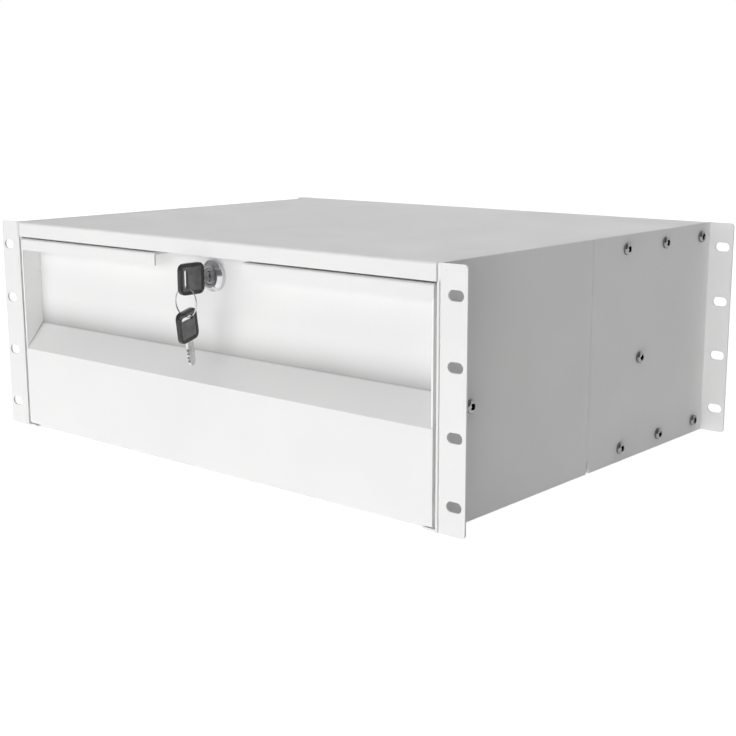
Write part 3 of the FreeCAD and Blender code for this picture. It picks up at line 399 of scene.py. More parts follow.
class Finishes:
    """Every finish of the drawer, made once."""

    def __init__(self) -> None:
        """Make the materials."""
        self.paint = PowderCoat().make()
        # Paint with shade painted into the bend above the drawer front's recess.
        self.recess_paint = RecessShadedPaint().make()
        # Painted light: the same paint made paler, standing in for the light that brightens the recess's
        # cheeks.
        self.cheek_paint = PowderCoat("cheek_paint", (0.95, 0.95, 0.945), (0.93, 0.93, 0.925)).make()
        self.zinc = PlatedSteel().make()
        self.black_screw = DarkFinish(
            "black_screw", (0.24, 0.24, 0.245), (0.34, 0.34, 0.345), (0.5, 0.5, 0.5),
            grain=900.0, depth=0.01 * MM, roughness=(0.1, 0.18), metal=1.0).make()
        self.plastic = DarkFinish(
            "moulded_plastic", (0.014, 0.014, 0.0145), (0.024, 0.024, 0.0245), (0.05, 0.05, 0.05),
            grain=2600.0, depth=0.03 * MM, roughness=(0.22, 0.34)).make()
        # The bows' sunk panels are grained plastic whose lighter grey is partly painted sheen of the front
        # light.
        self.plastic_panel_sheen = DarkFinish(
            "grained_plastic", (0.1, 0.1, 0.101), (0.18, 0.18, 0.181), (0.14, 0.14, 0.14),
            grain=1500.0, depth=0.1 * MM, roughness=(0.4, 0.6)).make()
        self.rubber = DarkFinish(
            "stop_rubber", (0.02, 0.02, 0.02), (0.03, 0.03, 0.029), (0.05, 0.05, 0.05),
            grain=1200.0, depth=0.06 * MM, roughness=(0.7, 0.85), gloss=0.3).make()
        self.chrome, self.plug_metal, self.key_steel, self.ball_steel = (
            BrightMetal(name, colour, shade, roughness).make() for name, colour, shade, roughness in (
                ("satin_chrome", (0.72, 0.72, 0.73), (0.62, 0.62, 0.64), (0.14, 0.26)),
                ("plug_metal", (0.3, 0.3, 0.31), (0.22, 0.22, 0.23), (0.28, 0.4)),
                ("key_steel", (0.74, 0.74, 0.73), (0.64, 0.64, 0.63), (0.2, 0.34)),
                ("ball_steel", (0.7, 0.7, 0.71), (0.64, 0.64, 0.65), (0.08, 0.14))))


# Shapes


def placed(name: str, data: bpy.types.ID) -> Piece:
    """Make an object of a mesh, a lamp or a camera and put it in the scene.

    Args:
        name: The object's name.
        data: What it shows.

    Returns:
        The object.
    """
    made = bpy.data.objects.new(name, data)
    bpy.context.scene.collection.objects.link(made)
    return made


def put(name: str, mesh: Mesh, finish: Material, body: str, *nodes: str) -> Piece:
    """Put a finished mesh in the scene as one piece of a body.

    Args:
        name: The piece's name.
        mesh: Its mesh, already in place.
        finish: Its material.
        body: The body that carries it.
        nodes: The frame's nodes that it stands for.

    Returns:
        The piece.
    """
    mesh.name = name
    mesh.materials.clear()
    mesh.materials.append(finish)
    piece = placed(name, mesh)
    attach(piece, body)
    if nodes:
        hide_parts(*nodes)
    LOG.info("%s: %d faces, on %s", name, len(mesh.polygons), body)
    return piece


def shaped(form: bmesh.types.BMesh, name: str) -> Mesh:
    """Turn a form into a mesh and let the form go.

    Args:
        form: The form.
        name: The mesh's name.

    Returns:
        The mesh.
    """
    mesh = bpy.data.meshes.new(name)
    form.to_mesh(mesh)
    form.free()
    return mesh


def evaluated(source: Piece) -> Mesh:
    """Work out the modifiers of an object and remove it.

    Args:
        source: The object.

    Returns:
        Its finished mesh.
    """
    graph = bpy.context.evaluated_depsgraph_get()
    mesh = bpy.data.meshes.new_from_object(source.evaluated_get(graph))
    bpy.data.objects.remove(source)
    return mesh


def smooth_faces(mesh: Mesh, limit: float = 32.0) -> Mesh:
    """Shade a mesh smooth.

    Args:
        mesh: The mesh.
        limit: The angle in degrees from which an edge stays sharp.

    Returns:
        The same mesh.
    """
    mesh.shade_smooth()
    mesh.set_sharp_from_angle(angle=math.radians(limit))
    return mesh


def soften(mesh: Mesh, width: float, steps: int = 2, limit: float = 35.0) -> Mesh:
    """Merge a mesh's loose triangles, round its sharp edges and mark them for wear.

    Args:
        mesh: The mesh, which is used up.
        width: The width of a rounded edge, in metres.
        steps: Faces across a rounded edge.
        limit: The angle in degrees from which an edge counts as sharp.

    Returns:
        The softened mesh, its normals turned towards the larger faces so that these stay flat.
    """
    form = bmesh.new()
    form.from_mesh(mesh)
    bmesh.ops.remove_doubles(form, verts=form.verts, dist=JOIN_DISTANCE)
    bmesh.ops.dissolve_limit(form, angle_limit=FLAT_LIMIT, verts=form.verts, edges=form.edges)
    bmesh.ops.dissolve_degenerate(form, edges=form.edges, dist=TINY)
    edge_mark = form.faces.layers.float.new("edge")
    sharp = [edge for edge in form.edges
             if len(edge.link_faces) == 2 and edge.calc_face_angle(0.0) > math.radians(limit)]
    if sharp:
        made = bmesh.ops.bevel(form, geom=sharp, offset=width, offset_type="OFFSET", segments=steps,
                               profile=0.5, affect="EDGES", clamp_overlap=True)
        for face in made["faces"]:
            face[edge_mark] = 1.0
    form.to_mesh(mesh)
    form.free()
    block = placed("block", smooth_faces(mesh))
    leaning = block.modifiers.new("normals", "WEIGHTED_NORMAL")
    leaning.keep_sharp = True
    leaning.weight = 100
    return evaluated(block)


def copy_node(node: str) -> Mesh:
    """Return a copy of the mesh of one of the frame's nodes."""
    return FRAME["nodes"][node].data.copy()


def dress(node: str, body: str, finish: Material, width: float, steps: int = 2) -> Piece:
    """Replace a node by a copy in a finish, its edges rounded to a width in some steps."""
    return put(f"{node}_dressed", soften(copy_node(node), width, steps), finish, body, node)


def lathe(outline: Sequence[Point], steps: int = 48) -> Mesh:
    """Turn an outline round the X axis.

    Args:
        outline: Corners as a place along the axis and a radius. It starts and ends on the axis,
            or meets itself to make a ring.
        steps: Faces round the axis.

    Returns:
        The closed mesh, its faces outwards.
    """
    form = bmesh.new()
    corners = [form.verts.new((along, 0.0, radius)) for along, radius in outline]
    edges = [form.edges.new(pair) for pair in zip(corners, corners[1:])]
    if outline[0][1] > 0.0:
        edges.append(form.edges.new((corners[-1], corners[0])))
    bmesh.ops.spin(form, geom=corners + edges, cent=(0, 0, 0), axis=(1, 0, 0), angle=2 * math.pi,
                   steps=steps, use_merge=True)
    bmesh.ops.remove_doubles(form, verts=form.verts, dist=TINY)
    bmesh.ops.recalc_face_normals(form, faces=form.faces)
    return shaped(form, "turned")


def skinned(*loops: Sequence[Spot]) -> Mesh:
    """Stretch a skin over a row of loops and close both ends.

    Args:
        loops: The corners of each loop, as many in each.

    Returns:
        The closed mesh, its faces outwards.
    """
    form = bmesh.new()
    rings = [[form.verts.new(corner) for corner in loop] for loop in loops]
    form.faces.new(rings[0])
    form.faces.new(reversed(rings[-1]))
    count = len(rings[0])
    for first, last in zip(rings, rings[1:]):
        for i in range(count):
            form.faces.new((first[i], last[i], last[(i + 1) % count], first[(i + 1) % count]))
    bmesh.ops.recalc_face_normals(form, faces=form.faces)
    return shaped(form, "skinned")


def prism(outline: Sequence[Point], start: float, end: float, taper: float = 1.0) -> Mesh:
    """Raise an outline in the YZ plane from one X to another, where it is a share of its size."""
    return skinned([(start, y, z) for y, z in outline], [(end, y * taper, z * taper) for y, z in outline])


def moved(mesh: Mesh, place: Sequence[float], facing: Facing = Facing.RIGHT) -> Mesh:
    """Turn a mesh and move it to a place, inside the mesh itself."""
    mesh.transform(Matrix.Translation(Vector(place)) @ Euler(facing.value).to_matrix().to_4x4())
    return mesh


def carve(mesh: Mesh, *cutters: Mesh) -> Mesh:
    """Cut closed meshes out of a closed mesh.

    Args:
        mesh: What is cut.
        cutters: What is taken out of it.

    Returns:
        The mesh that is left.
    """
    block = placed("block", mesh)
    tools = [bpy.data.objects.new("cutter", cutter) for cutter in cutters]
    for tool in tools:
        carving = block.modifiers.new("carve", "BOOLEAN")
        carving.operation = "DIFFERENCE"
        carving.solver = "EXACT"
        carving.object = tool
    left = evaluated(block)
    for tool in tools:
        bpy.data.objects.remove(tool)
    return left


def cross_outline(reach: float, width: float) -> list[Point]:
    """Draw the outline of a cross recess.

    Args:
        reach: From the middle to the end of an arm.
        width: Across an arm.

    Returns:
        The corners as Y and Z.
    """
    arm = width / 2
    quarter = [(arm, arm), (arm, reach), (-arm, reach)]
    turns = ((1, 0), (0, -1), (-1, 0), (0, 1))
    return [(y * c + z * s, -y * s + z * c) for c, s in turns for y, z in quarter]


@dataclass(frozen=True)
class PanScrew:
    """A pan-head screw with a cross recess, its seat at the origin and its head along +X."""

    head_width: float
    head_rise: float
    length: float
    shank: float = 4.0 * MM
    thread_pitch: float = 0.7 * MM
    thread_depth: float = 0.3 * MM
    thread_end: float = 1.0 * MM
    crest_place: float = 0.45
    neck: float = 0.4 * MM
    recess: float = 0.54
    recess_arm: float = 0.48
    recess_floor: float = 0.25
    recess_taper: float = 0.55
    shoulder: float = 0.45
    roll_reach: float = 1.3
    under_edge: float = 0.15 * MM
    break_edge: float = 0.05 * MM
    clear: float = 0.1 * MM
    steps: int = 32
    sharp_from: float = 30.0

    def shank_outline(self) -> list[Point]:
        """Return the threaded shank's outline, from its end to the head."""
        crest, root = self.shank / 2, self.shank / 2 - self.thread_depth
        turns = int((self.length - self.thread_end) / self.thread_pitch)
        outline = [(-self.length, 0.0), (-self.length, root)]
        for number in range(turns):
            start = -self.length + self.thread_depth + number * self.thread_pitch
            outline += [(start, root), (start + self.thread_pitch * self.crest_place, crest)]
        return outline + [(-self.neck, root), (0.0, crest)]

    def mesh(self) -> Mesh:
        """Return the screw's mesh."""
        radius, rise = self.head_width / 2, self.head_rise
        shoulder, roll = rise * self.shoulder, rise * (1 - self.shoulder)
        dome = [(shoulder + roll * math.sin(angle), radius - roll * self.roll_reach * (1 - math.cos(angle)))
                for angle in QUARTER_TURN[1:]]
        under = [(0.0, radius - self.under_edge), (self.under_edge, radius), (shoulder, radius)]
        head = lathe(self.shank_outline() + under + dome + [(rise, 0.0)], self.steps)
        reach = radius * self.recess
        cross = prism(cross_outline(reach, reach * self.recess_arm), rise + self.clear,
                      rise * self.recess_floor, self.recess_taper)
        return smooth_faces(soften(carve(head, cross), self.break_edge, 1, TURNED_LIMIT), self.sharp_from)


@dataclass(frozen=True)
class HexNut:
    """A chamfered hexagon nut whose threaded bore is drawn as a plain hole, its seat at the origin, facing
    +X.
    """

    width: float = 7.0 * MM
    rise: float = 3.2 * MM
    bore: float = 4.2 * MM
    chamfer: float = 0.55 * MM
    chamfer_start: float = 0.955
    chamfer_end: float = 1.01
    clear: float = 1.5
    break_edge: float = 0.08 * MM
    bore_steps: int = 24
    chamfer_steps: int = 36

    def mesh(self) -> Mesh:
        """Return the nut's mesh."""
        corner = self.width / math.sqrt(3)
        outline = [(corner * math.sin(math.radians(60 * i)), corner * math.cos(math.radians(60 * i)))
                   for i in range(6)]
        flats = prism(outline, 0.0, self.rise)
        radius, above, below = self.bore / 2, self.rise + MM, self.rise - self.chamfer
        start, far = self.width / 2 * self.chamfer_start, corner * self.clear
        hole = lathe([(-MM, 0.0), (-MM, radius), (above, radius), (above, 0.0)], self.bore_steps)
        ring = lathe([(above, start), (above, far), (below, far), (below, corner * self.chamfer_end),
                      (self.rise, start)], self.chamfer_steps)
        return soften(carve(flats, hole, ring), self.break_edge, 1)


class FastenerRows(Nodes):
    """A geometry tree that sets one template in rows and columns, each turned by its own roll."""

    SIZES = {"Template": "Object", "Start": "Vector", "Columns": "Int", "Column Step": "Vector",
             "Rows": "Int", "Row Step": "Vector", "Turn": "Vector", "Roll": "Float", "Seed": "Int",
             "Finish": "Material"}

    def __init__(self) -> None:
        """Build the tree."""
        super().__init__(bpy.data.node_groups.new("fastener_rows", "GeometryNodeTree"))
        face = self.tree.interface
        for name, kind in self.SIZES.items():
            face.new_socket(name, in_out="INPUT", socket_type=f"NodeSocket{kind}")
        face.new_socket("Geometry", in_out="OUTPUT", socket_type="NodeSocketGeometry")
        self.given = self.add("NodeGroupInput").outputs
        self._wire()

    def _line(self, count: str, step: str, more: dict[str, Socket]) -> Socket:
        """Return a line of points with a count, a step and perhaps a start."""
        sizes = {"Count": self.given[count], "Offset": self.given[step], **more}
        return self.add("GeometryNodeMeshLine", sizes).outputs["Mesh"]

    def _wire(self) -> None:
        """Link the rows, the columns, the template and the finish."""
        given = self.given
        row = self._line("Rows", "Row Step", {})
        column = self._line("Columns", "Column Step", {"Start Location": given["Start"]})
        grid = self.add("GeometryNodeInstanceOnPoints", {"Points": row, "Instance": column})
        points = self.add("GeometryNodeRealizeInstances", {"Geometry": grid.outputs["Instances"]})
        shape = self.add("GeometryNodeObjectInfo", {"Object": given["Template"]})
        turn = self.add("FunctionNodeEulerToRotation", {"Euler": given["Turn"]})
        random = self.add("FunctionNodeRandomValue", {"Seed": given["Seed"]})
        roll = self.times(random.outputs[1], given["Roll"])
        axis = self.add("ShaderNodeCombineXYZ", {"X": roll})
        spin = self.add("FunctionNodeEulerToRotation", {"Euler": axis.outputs["Vector"]})
        facing = self.add("FunctionNodeRotateRotation", {
            "Rotation": turn.outputs["Rotation"], "Rotate By": spin.outputs["Rotation"]})
        facing.rotation_space = "LOCAL"
        copies = self.add("GeometryNodeInstanceOnPoints", {
            "Points": points.outputs["Geometry"], "Instance": shape.outputs["Geometry"],
            "Rotation": facing.outputs["Rotation"]})
        real = self.add("GeometryNodeRealizeInstances", {"Geometry": copies.outputs["Instances"]})
        dressed = self.add("GeometryNodeSetMaterial", {
            "Geometry": real.outputs["Geometry"], "Material": given["Finish"]})
        self.add("NodeGroupOutput", {"Geometry": dressed.outputs["Geometry"]})

    def grow(self, template: Mesh, finish: Material, start: Spot, facing: Facing, columns: int = 1,
             column_step: Spot = (0, 0, 0), rows: int = 1, row_step: Spot = (0, 0, 0), seed: int = 0) -> Mesh:
        """Run the tree and return its plain mesh.

        Args:
            template: The mesh that repeats, in a frame whose seat is the origin.
            finish: Its material.
            start: The seat of the first copy, in metres.
            facing: The way the heads look.
            columns: Copies in a row.
            column_step: From one copy to the next.
            rows: How many rows.
            row_step: From one row to the next.
            seed: The seed of the copies' turns round their own axis.

        Returns:
            The mesh of all the copies.
        """
        shape = bpy.data.objects.new("template", template)
        base = placed("rows", bpy.data.meshes.new("rows"))
        modifier = base.modifiers.new("rows", "NODES")
        modifier.node_group = self.tree
        sizes = {"Template": shape, "Start": start, "Columns": columns, "Column Step": column_step,
                 "Rows": rows, "Row Step": row_step, "Turn": facing.value, "Roll": FULL_ROLL, "Seed": seed,
                 "Finish": finish}
        for item in self.tree.interface.items_tree:
            if item.in_out == "INPUT":
                modifier[item.identifier] = sizes[item.name]
        mesh = evaluated(base)
        bpy.data.objects.remove(shape)
        return mesh


def joined(*meshes: Mesh) -> Mesh:
    """Return one mesh that holds several."""
    form = bmesh.new()
    for mesh in meshes:
        form.from_mesh(mesh)
    return shaped(form, "joined")


# Sub-assemblies


@dataclass
class Assembly:
    """A sub-assembly: the finishes that it wears and the tree that sets its fasteners."""

    finishes: Finishes
    rows: FastenerRows


@dataclass
class Case(Assembly):
    """The fixed case: shell, base pan, rear panel, side brackets and their fasteners."""

    edge: float = 0.22 * MM
    wall: float = 219.5 * MM
    half_height: float = 86.0 * MM
    sheet: float = 1.5 * MM
    row_inset: float = 10.5 * MM
    columns: int = 3
    first_column: float = 222.5 * MM
    column_pitch: float = 58.5 * MM
    slide_columns: Point = (31.0 * MM, 247.0 * MM)
    slide_level: float = -9.0 * MM
    rail_metal: float = 1.2 * MM
    tab_low: Spot = (217.05 * MM, 1.6 * MM, 71.4 * MM)
    tab_high: Spot = (219.4 * MM, 3.0 * MM, 85.6 * MM)
    screw: PanScrew = PanScrew(9.0 * MM, 2.8 * MM, 9.0 * MM)
    screw_seed: int = 3
    rear_seed: int = 7

    def dress(self) -> None:
        """Dress the folded sheets and make the fasteners."""
        for node in ("case_shell", "base_pan", "rear_panel"):
            dress(node, "case", self.finishes.paint, self.edge)
        for side in SIDES:
            for place in ("front", "rear"):
                dress(f"{side.name}_{place}_bracket", "case", self.finishes.paint, self.edge)
        put("lip_tabs", self._tabs(), self.finishes.paint, "case")
        self._bracket_fasteners()
        self._slide_screws()

    def _tabs(self) -> Mesh:
        """Make the two small tabs that back the reliefs at the ends of the front lip."""
        (left, front, low), (right, back, high) = self.tab_low, self.tab_high
        outline = [(front, low), (back, low), (back, high), (front, high)]
        return joined(*(soften(prism(outline, side.sign * left, side.sign * right), self.edge)
                        for side in SIDES))

    def _bracket_fasteners(self) -> None:
        """Set six screws and six nuts on each side."""
        black, zinc = self.finishes.black_screw, self.finishes.zinc
        screw, nut = self.screw.mesh(), HexNut().mesh()
        level = self.half_height - self.row_inset
        step = (0, self.column_pitch, 0)
        seats = ((self.wall - self.sheet, level), (self.wall - 2 * self.sheet, -level))
        for number, side in enumerate(SIDES):
            start = (side.sign * (self.wall + self.sheet), self.first_column, -level)
            screws = self.rows.grow(screw.copy(), black, start, side.outward, self.columns, step, rows=2,
                                    row_step=(0, 0, 2 * level), seed=number + self.screw_seed)
            put(f"{side.name}_pan_screws", smooth_faces(screws), black, "case", f"{side.name}_bracket_screws")
            nuts = [self.rows.grow(nut.copy(), zinc, (side.sign * seat, self.first_column, height),
                                   side.inward, self.columns, step, seed=number) for seat, height in seats]
            put(f"{side.name}_hex_nuts", smooth_faces(joined(*nuts)), zinc, "case",
                f"{side.name}_bracket_nuts")

    def _slide_screws(self) -> None:
        """Set the two screws of each slide, one through each bracket."""
        black = self.finishes.black_screw
        screw = replace(self.screw, length=2 * self.sheet + self.rail_metal).mesh()
        for number, side in enumerate(SIDES):
            for row, (place, column) in enumerate(zip(("front", "rear"), self.slide_columns)):
                start = (side.sign * (self.wall + self.sheet), column, self.slide_level)
                mesh = self.rows.grow(screw.copy(), black, start, side.outward,
                                      seed=number + self.rear_seed * row)
                name = f"{side.name}_{place}_slide"
                put(f"{name}_pan_screw", smooth_faces(mesh), black, "case", f"{name}_screw")


@dataclass
class Slides(Assembly):
    """The telescopic ball slides, their cages, balls, stops and screws."""

    edge: float = 0.15 * MM
    stop_edge: float = 0.4 * MM
    cage_edge: float = 0.08 * MM
    ball_size: float = 2.8 * MM
    ball_steps: int = 12
    ball_sides: int = 20
    ball_seed: int = 5
    columns: int = 3
    screw: PanScrew = PanScrew(8.4 * MM, 1.4 * MM, 4.6 * MM)

    def dress(self) -> None:
        """Dress the rolled rails and make the balls and screws."""
        zinc = self.finishes.zinc
        screw, head = self.screw.mesh(), self.screw.head_width
        for number, side in enumerate(SIDES):
            name = side.name
            for rail, body in (("outer", "case"), ("middle", "middle_rails"), ("inner", "drawer")):
                dress(f"{name}_{rail}_rail", body, zinc, self.edge)
            dress(f"{name}_rail_stop", "case", self.finishes.rubber, self.stop_edge)
            for kind in ("outer", "inner"):
                dress(f"{name}_{kind}_cage", f"{kind}_cages", zinc, self.cage_edge)
                self._balls(name, kind)
            low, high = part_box(f"{name}_tray_screws")
            seat = (high.x if side.sign > 0 else low.x) - side.sign * self.screw.head_rise
            start = (seat, low.y + head / 2, (low.z + high.z) / 2)
            pitch = (high.y - low.y - head) / (self.columns - 1)
            mesh = self.rows.grow(screw.copy(), zinc, start, side.outward, self.columns, (0, pitch, 0),
                                  seed=number)
            put(f"{name}_tray_pan_screws", smooth_faces(mesh), zinc, "drawer", f"{name}_tray_screws")

    def _balls(self, name: str, kind: str) -> None:
        """Set the two rows of balls of one cage.

        Args:
            name: The side's name.
            kind: Outer or inner.
        """
        low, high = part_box(f"{name}_{kind}_balls")
        half = self.ball_size / 2
        turns = [math.pi * i / self.ball_steps for i in range(1, self.ball_steps)]
        arc = [(-half * math.cos(turn), half * math.sin(turn)) for turn in turns]
        ball = lathe([(-half, 0.0)] + arc + [(half, 0.0)], self.ball_sides)
        start = ((low.x + high.x) / 2, low.y + half, low.z + half)
        pitch = high.y - low.y - self.ball_size
        rise = high.z - low.z - self.ball_size
        mesh = self.rows.grow(ball, self.finishes.ball_steel, start, Facing.RIGHT, columns=2, rows=2,
                              column_step=(0, pitch, 0), row_step=(0, 0, rise), seed=self.ball_seed)
        put(f"{name}_{kind}_bearing_balls", smooth_faces(mesh, ROUND_LIMIT), self.finishes.ball_steel,
            f"{kind}_cages", f"{name}_{kind}_balls")


@dataclass
class Drawer(Assembly):
    """The drawer: its folded front, the cheeks and end plates that close it, and the tray."""

    edge: float = 0.22 * MM

    def dress(self) -> None:
        """Dress the folded sheets."""
        # The front's paint has shade painted into the bend above the recess's slope.
        dress("drawer_front", "drawer", self.finishes.recess_paint, self.edge)
        for node in ("drawer_tray", "tray_front_wall", "tray_rear_wall"):
            dress(node, "drawer", self.finishes.paint, self.edge)
        for side in SIDES:
            # Painted light: the cheeks wear a paler copy of the paint.
            dress(f"{side.name}_recess_cheek", "drawer", self.finishes.cheek_paint, self.edge)
            dress(f"{side.name}_end_plate", "drawer", self.finishes.paint, self.edge)


@dataclass
class Lock(Assembly):
    """The cam lock: bezel and barrel, nut, plug, cam, cam screw, and the strike above it."""

    level: float = 58.0 * MM
    face: float = 11.0 * MM
    bezel: float = 11.5 * MM
    face_edge: float = 8.9 * MM
    barrel: float = 9.3 * MM
    bore: float = 6.3 * MM
    flats: float = 8.0 * MM
    panel: float = 17.0 * MM
    barrel_end: float = 37.0 * MM
    break_edge: float = 0.4 * MM
    soft_edge: float = 0.1 * MM
    mouth: tuple[Point, ...] = ((0.5 * MM, 0.0), (0.1 * MM, 0.25 * MM), (0.0, 0.7 * MM))
    rim: tuple[Point, ...] = ((0.0, -0.3 * MM), (0.12 * MM, 0.0))
    shoulder: tuple[Point, ...] = ((-0.3 * MM, -0.4 * MM), (0.1 * MM, 0.0))
    flats_start: float = 1.5 * MM
    clear: float = 20.0 * MM
    steps: int = 64
    rivet_steps: int = 24
    ring_gap: float = 0.6 * MM
    ring_inset: float = 0.4 * MM
    ring_rise: float = 0.12 * MM
    ring_slope: float = 0.05 * MM
    ring_sunk: float = 0.1 * MM
    edge: float = 0.2 * MM
    screw: PanScrew = PanScrew(9.0 * MM, 2.2 * MM, 4.7 * MM)

    def dress(self) -> None:
        """Make the turned parts and dress the flat ones."""
        zinc, satin = self.finishes.zinc, self.finishes.plug_metal
        put("lock_barrel", self._body(), self.finishes.chrome, "drawer", "lock_body")
        put("lock_face", self._face(), satin, "drawer")
        dress("lock_nut", "drawer", zinc, self.edge)
        dress("lock_plug", "plug", satin, self.edge)
        dress("lock_cam", "plug", zinc, self.edge)
        _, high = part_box("cam_screw")
        seat = (0.0, high.y - self.screw.head_rise, self.level)
        mesh = self.rows.grow(self.screw.mesh(), zinc, seat, Facing.BACK)
        put("cam_pan_screw", smooth_faces(mesh), zinc, "plug", "cam_screw")
        dress("lock_strike", "case", zinc, self.edge)
        self._rivets()

    def _body(self) -> Mesh:
        """Turn the bezel and the barrel, cut the barrel's flats and set them in place."""
        front, length = self.face - self.panel, self.barrel_end - self.panel
        cone_end = front + (self.bezel - self.face_edge)
        corners = ((front, self.bore, self.mouth), (front, self.face_edge, self.rim),
                   (cone_end, self.bezel, self.shoulder))
        outline = [(along + back, radius + out) for along, radius, edge in corners for back, out in edge]
        outline += [(0.0, self.bezel), (0.0, self.barrel), (length - self.break_edge, self.barrel),
                    (length, self.barrel - self.break_edge), (length, self.bore)]
        far = self.clear
        flats = [prism([(side.sign * self.flats, -far), (side.sign * far, -far), (side.sign * far, far),
                        (side.sign * self.flats, far)], self.flats_start, length + MM) for side in SIDES]
        mesh = moved(carve(lathe(outline, self.steps), *flats), (0.0, self.panel, self.level), Facing.BACK)
        return soften(mesh, self.soft_edge, limit=TURNED_LIMIT)

    def _face(self) -> Mesh:
        """Turn the satin ring that is let into the bezel's face round the plug."""
        inner, outer = self.bore + self.ring_gap, self.face_edge - self.ring_inset
        outline = [(-self.ring_rise, inner), (0.0, inner - self.ring_slope),
                   (0.0, outer + self.ring_slope), (-self.ring_rise, outer)]
        place = (0.0, self.face + self.ring_sunk, self.level)
        return smooth_faces(moved(lathe(outline, self.steps), place, Facing.BACK))

    def _rivets(self) -> None:
        """Set the two rivets of the strike."""
        low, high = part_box("strike_rivets")
        radius, rise = (high.y - low.y) / 2, high.z - low.z
        dome = [(rise * math.sin(angle), radius * math.cos(angle)) for angle in QUARTER_TURN[:-1]]
        head = lathe([(0.0, 0.0)] + dome + [(rise, 0.0)], self.rivet_steps)
        start = (low.x + radius, (low.y + high.y) / 2, high.z)
        zinc, pitch = self.finishes.zinc, high.x - low.x - 2 * radius
        mesh = self.rows.grow(head, zinc, start, Facing.DOWN, columns=2, column_step=(pitch, 0, 0))
        put("strike_dome_rivets", smooth_faces(mesh), zinc, "case", "strike_rivets")


@dataclass
class Keys(Assembly):
    """The inserted key, its ring and the spare key that hangs on it."""

    slot_y: float = -11.5 * MM
    lock_level: float = 58.0 * MM
    spare_level: float = 29.95 * MM
    spare_turn: float = 14.0
    spare_lean: float = 9.0
    groove_start: float = 8.0 * MM
    groove_end: float = 33.0 * MM
    groove_depth: float = 0.35 * MM
    groove_half: float = 0.9 * MM
    groove_rise: float = 0.6 * MM
    blade_side: float = 1.0 * MM
    ring_radius: float = 11.0 * MM
    ring_band: Point = (0.4 * MM, 0.29 * MM)
    ring_steps: int = 160
    ring_sides: int = 12
    ring_start: float = 0.9
    shift_start: float = 0.4
    shift_share: float = 0.2
    panel_side: float = 1.1 * MM
    panel_slack: float = 0.05 * MM
    panel_upright: float = 0.99
    bow_edge: float = 0.35 * MM
    blade_edge: float = 0.1 * MM

    def dress(self) -> None:
        """Dress the bows and blades and wind the ring."""
        inserted = Matrix.Translation((0.0, self.slot_y, self.lock_level))
        hanging = (Matrix.Translation((0.0, self.slot_y, self.spare_level))
                   @ Matrix.Rotation(math.radians(self.spare_turn), 4, "Z")
                   @ Matrix.Rotation(math.radians(self.spare_lean - 90.0), 4, "X"))
        for key, place in (("key", inserted), ("spare_key", hanging)):
            self._grain(dress(f"{key}_bow", key, self.finishes.plastic, self.bow_edge, steps=3), place)
            self._blade(key, place)
        self._ring()

    def _grain(self, bow: Piece, place: Matrix) -> None:
        """Give the sunk panels on both sides of a bow their grained finish, whose lighter grey is partly
        painted sheen.

        Args:
            bow: The bow.
            place: Where its key's slot sits and how the key is turned.
        """
        bow.data.materials.append(self.finishes.plastic_panel_sheen)
        back = place.inverted()
        for face in bow.data.polygons:
            side = abs((back @ face.center).x)
            upright = abs((back.to_3x3() @ face.normal).x)
            if abs(side - self.panel_side) < self.panel_slack and upright > self.panel_upright:
                face.material_index = 1

    def _blade(self, key: str, place: Matrix) -> None:
        """Mill a groove along both faces of a blade and soften its edges.

        Args:
            key: The key's name, which is also its body's.
            place: Where the key's slot sits and how the key is turned.
        """
        form = bmesh.new()
        form.from_mesh(copy_node(f"{key}_blade"))
        bmesh.ops.remove_doubles(form, verts=form.verts, dist=JOIN_DISTANCE)
        mesh = shaped(form, "blade")
        low, high = self.groove_rise - self.groove_half, self.groove_rise + self.groove_half
        outline = [(self.groove_start, low), (self.groove_end, low), (self.groove_end, high),
                   (self.groove_start, high)]
        bottom, outside = self.blade_side - self.groove_depth, self.blade_side + MM
        grooves = [prism(outline, start, end) for start, end in ((bottom, outside), (-outside, -bottom))]
        for groove in grooves:
            groove.transform(place)
        milled = soften(carve(mesh, *grooves), self.blade_edge)
        put(f"{key}_milled_blade", milled, self.finishes.key_steel, key, f"{key}_blade")

    def _ring(self) -> None:
        """Wind the split ring: two flattened coils side by side."""
        low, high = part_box("key_ring")
        centre = (low + high) / 2
        half_metal, half_width = self.ring_band
        steps, sides = self.ring_steps, self.ring_sides
        loops = []
        for number in range(steps + 1):
            angle = 2 * math.tau * number / steps + self.ring_start
            shift = min(max((number / steps - self.shift_start) / self.shift_share, 0.0), 1.0)
            side = half_width * (2 * shift - 1)
            loop = []
            for corner in range(sides):
                turn = math.tau * corner / sides
                radius = self.ring_radius + half_metal * math.cos(turn)
                loop.append((centre.x + radius * math.cos(angle),
                             centre.y + side + half_width * math.sin(turn),
                             centre.z + radius * math.sin(angle)))
            loops.append(loop)
        ring = smooth_faces(skinned(*loops), ROUND_LIMIT)
        put("split_ring", ring, self.finishes.key_steel, "ring", "key_ring")


# Studio


@dataclass(frozen=True)
class Sun:
    """A broad soft light: its strength, how many degrees it spreads over and the way it shines."""

    name: str
    strength: float
    spread: float
    way: Spot


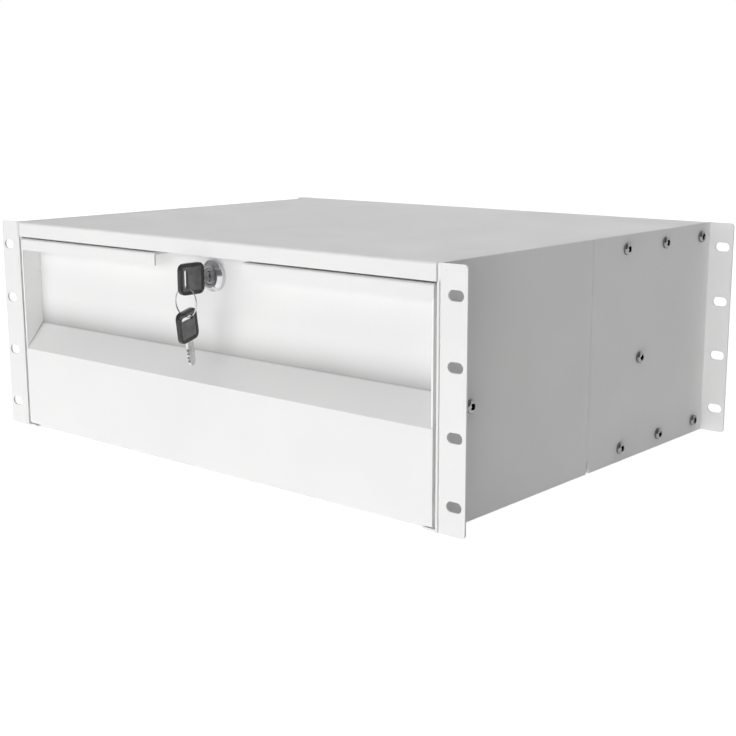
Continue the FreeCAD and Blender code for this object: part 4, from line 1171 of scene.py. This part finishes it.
@dataclass
class Studio:
    """The camera, the floor and the lights."""

    eye: Spot = (0.70383, -0.62578, 0.18098)
    yaw: float = -40.881
    pitch: float = -11.467
    roll: float = -0.135
    lens: float = 63.895
    sensor: float = 36.0
    nearest: float = 0.01
    floor_level: float = -0.0863
    floor_reach: float = 14.0
    floor_corners: int = 96
    floor_colour: Colour = (0.6, 0.6, 0.6)
    floor_glow: float = 0.76
    suns: tuple[Sun, ...] = (Sun("front_light", 3.84, 90.0, (0.0, 1.0, 0.35)),
                             Sun("top_light", 1.33, 60.0, (0.0, 0.0, -1.0)))
    sky_fill: float = 0.12
    gloom_range: Point = (0.64, 0.2)
    gloom: float = 0.82

    def build(self) -> None:
        """Set up everything that isn't the object."""
        self._camera()
        self._floor()
        self._lights()
        self._world()
        bpy.context.scene.view_settings.view_transform = "Standard"

    def _camera(self) -> None:
        """Put the camera where the photograph was taken from."""
        yaw, pitch, roll = (math.radians(angle) for angle in (self.yaw, self.pitch, self.roll))
        turn = (Matrix.Rotation(-yaw, 4, "Z") @ Matrix.Rotation(math.pi / 2 + pitch, 4, "X")
                @ Matrix.Rotation(roll, 4, "Z"))
        data = bpy.data.cameras.new("camera")
        data.lens = self.lens
        data.sensor_width = self.sensor
        data.clip_start = self.nearest
        camera = placed("camera", data)
        camera.matrix_world = Matrix.Translation(self.eye) @ turn
        bpy.context.scene.camera = camera

    def _floor(self) -> None:
        """Lay a wide pale floor that shows white and keeps the object's shadow."""
        form = bmesh.new()
        bmesh.ops.create_circle(form, cap_ends=True, segments=self.floor_corners, radius=self.floor_reach)
        mesh = moved(shaped(form, "floor"), (0.0, 0.0, self.floor_level))
        floor = placed("floor", mesh)
        material = bpy.data.materials.new("pale_floor")
        material.use_nodes = True
        nodes = Nodes(material.node_tree)
        nodes.tree.nodes.clear()
        matt = nodes.add("ShaderNodeBsdfDiffuse", {"Color": (*self.floor_colour, 1.0)})
        level = nodes.times(nodes.seen(), self.floor_glow)
        glow = nodes.add("ShaderNodeEmission", {"Color": WHITE, "Strength": level})
        both = nodes.add("ShaderNodeAddShader", {0: matt.outputs["BSDF"], 1: glow.outputs["Emission"]})
        nodes.add("ShaderNodeOutputMaterial", {"Surface": both.outputs["Shader"]})
        mesh.materials.append(material)
        floor.visible_shadow = False

    def _lights(self) -> None:
        """Hang the suns. Reflections show the sky instead of them."""
        for sun in self.suns:
            data = bpy.data.lights.new(sun.name, "SUN")
            data.energy = sun.strength
            data.angle = math.radians(sun.spread)
            lamp = placed(sun.name, data)
            lamp.rotation_euler = Vector(sun.way).to_track_quat("-Z", "Y").to_euler()
            lamp.visible_glossy = False

    def _world(self) -> None:
        """Fill in with a soft grey sky that shows white, and is darker in reflections of the front."""
        world = bpy.data.worlds.new("sky")
        bpy.context.scene.world = world
        world.use_nodes = True
        nodes = Nodes(world.node_tree)
        level = nodes.spread(nodes.seen(), (self.sky_fill, 1.0), WHOLE)
        place = nodes.add("ShaderNodeTexCoord").outputs["Generated"]
        ahead = nodes.add("ShaderNodeSeparateXYZ", {"Vector": place}).outputs["Y"]
        gloom = nodes.spread(ahead, (0.0, self.gloom), self.gloom_range)
        reflected = nodes.add("ShaderNodeLightPath").outputs["Is Glossy Ray"]
        room = nodes.maths("SUBTRACT", 1.0, nodes.times(gloom, reflected))
        nodes.feed(nodes.tree.nodes["Background"], {"Color": WHITE, "Strength": nodes.times(level, room)})


def main() -> None:
    """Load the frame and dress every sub-assembly."""
    logging.basicConfig(level=logging.INFO, format="%(message)s")
    FRAME.update(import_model())
    Studio().build()
    finishes = Finishes()
    rows = FastenerRows()
    for assembly in (Case, Slides, Drawer, Lock, Keys):
        assembly(finishes, rows).dress()
        LOG.info("%s done", assembly.__name__)


if __name__ == "__main__":
    main()
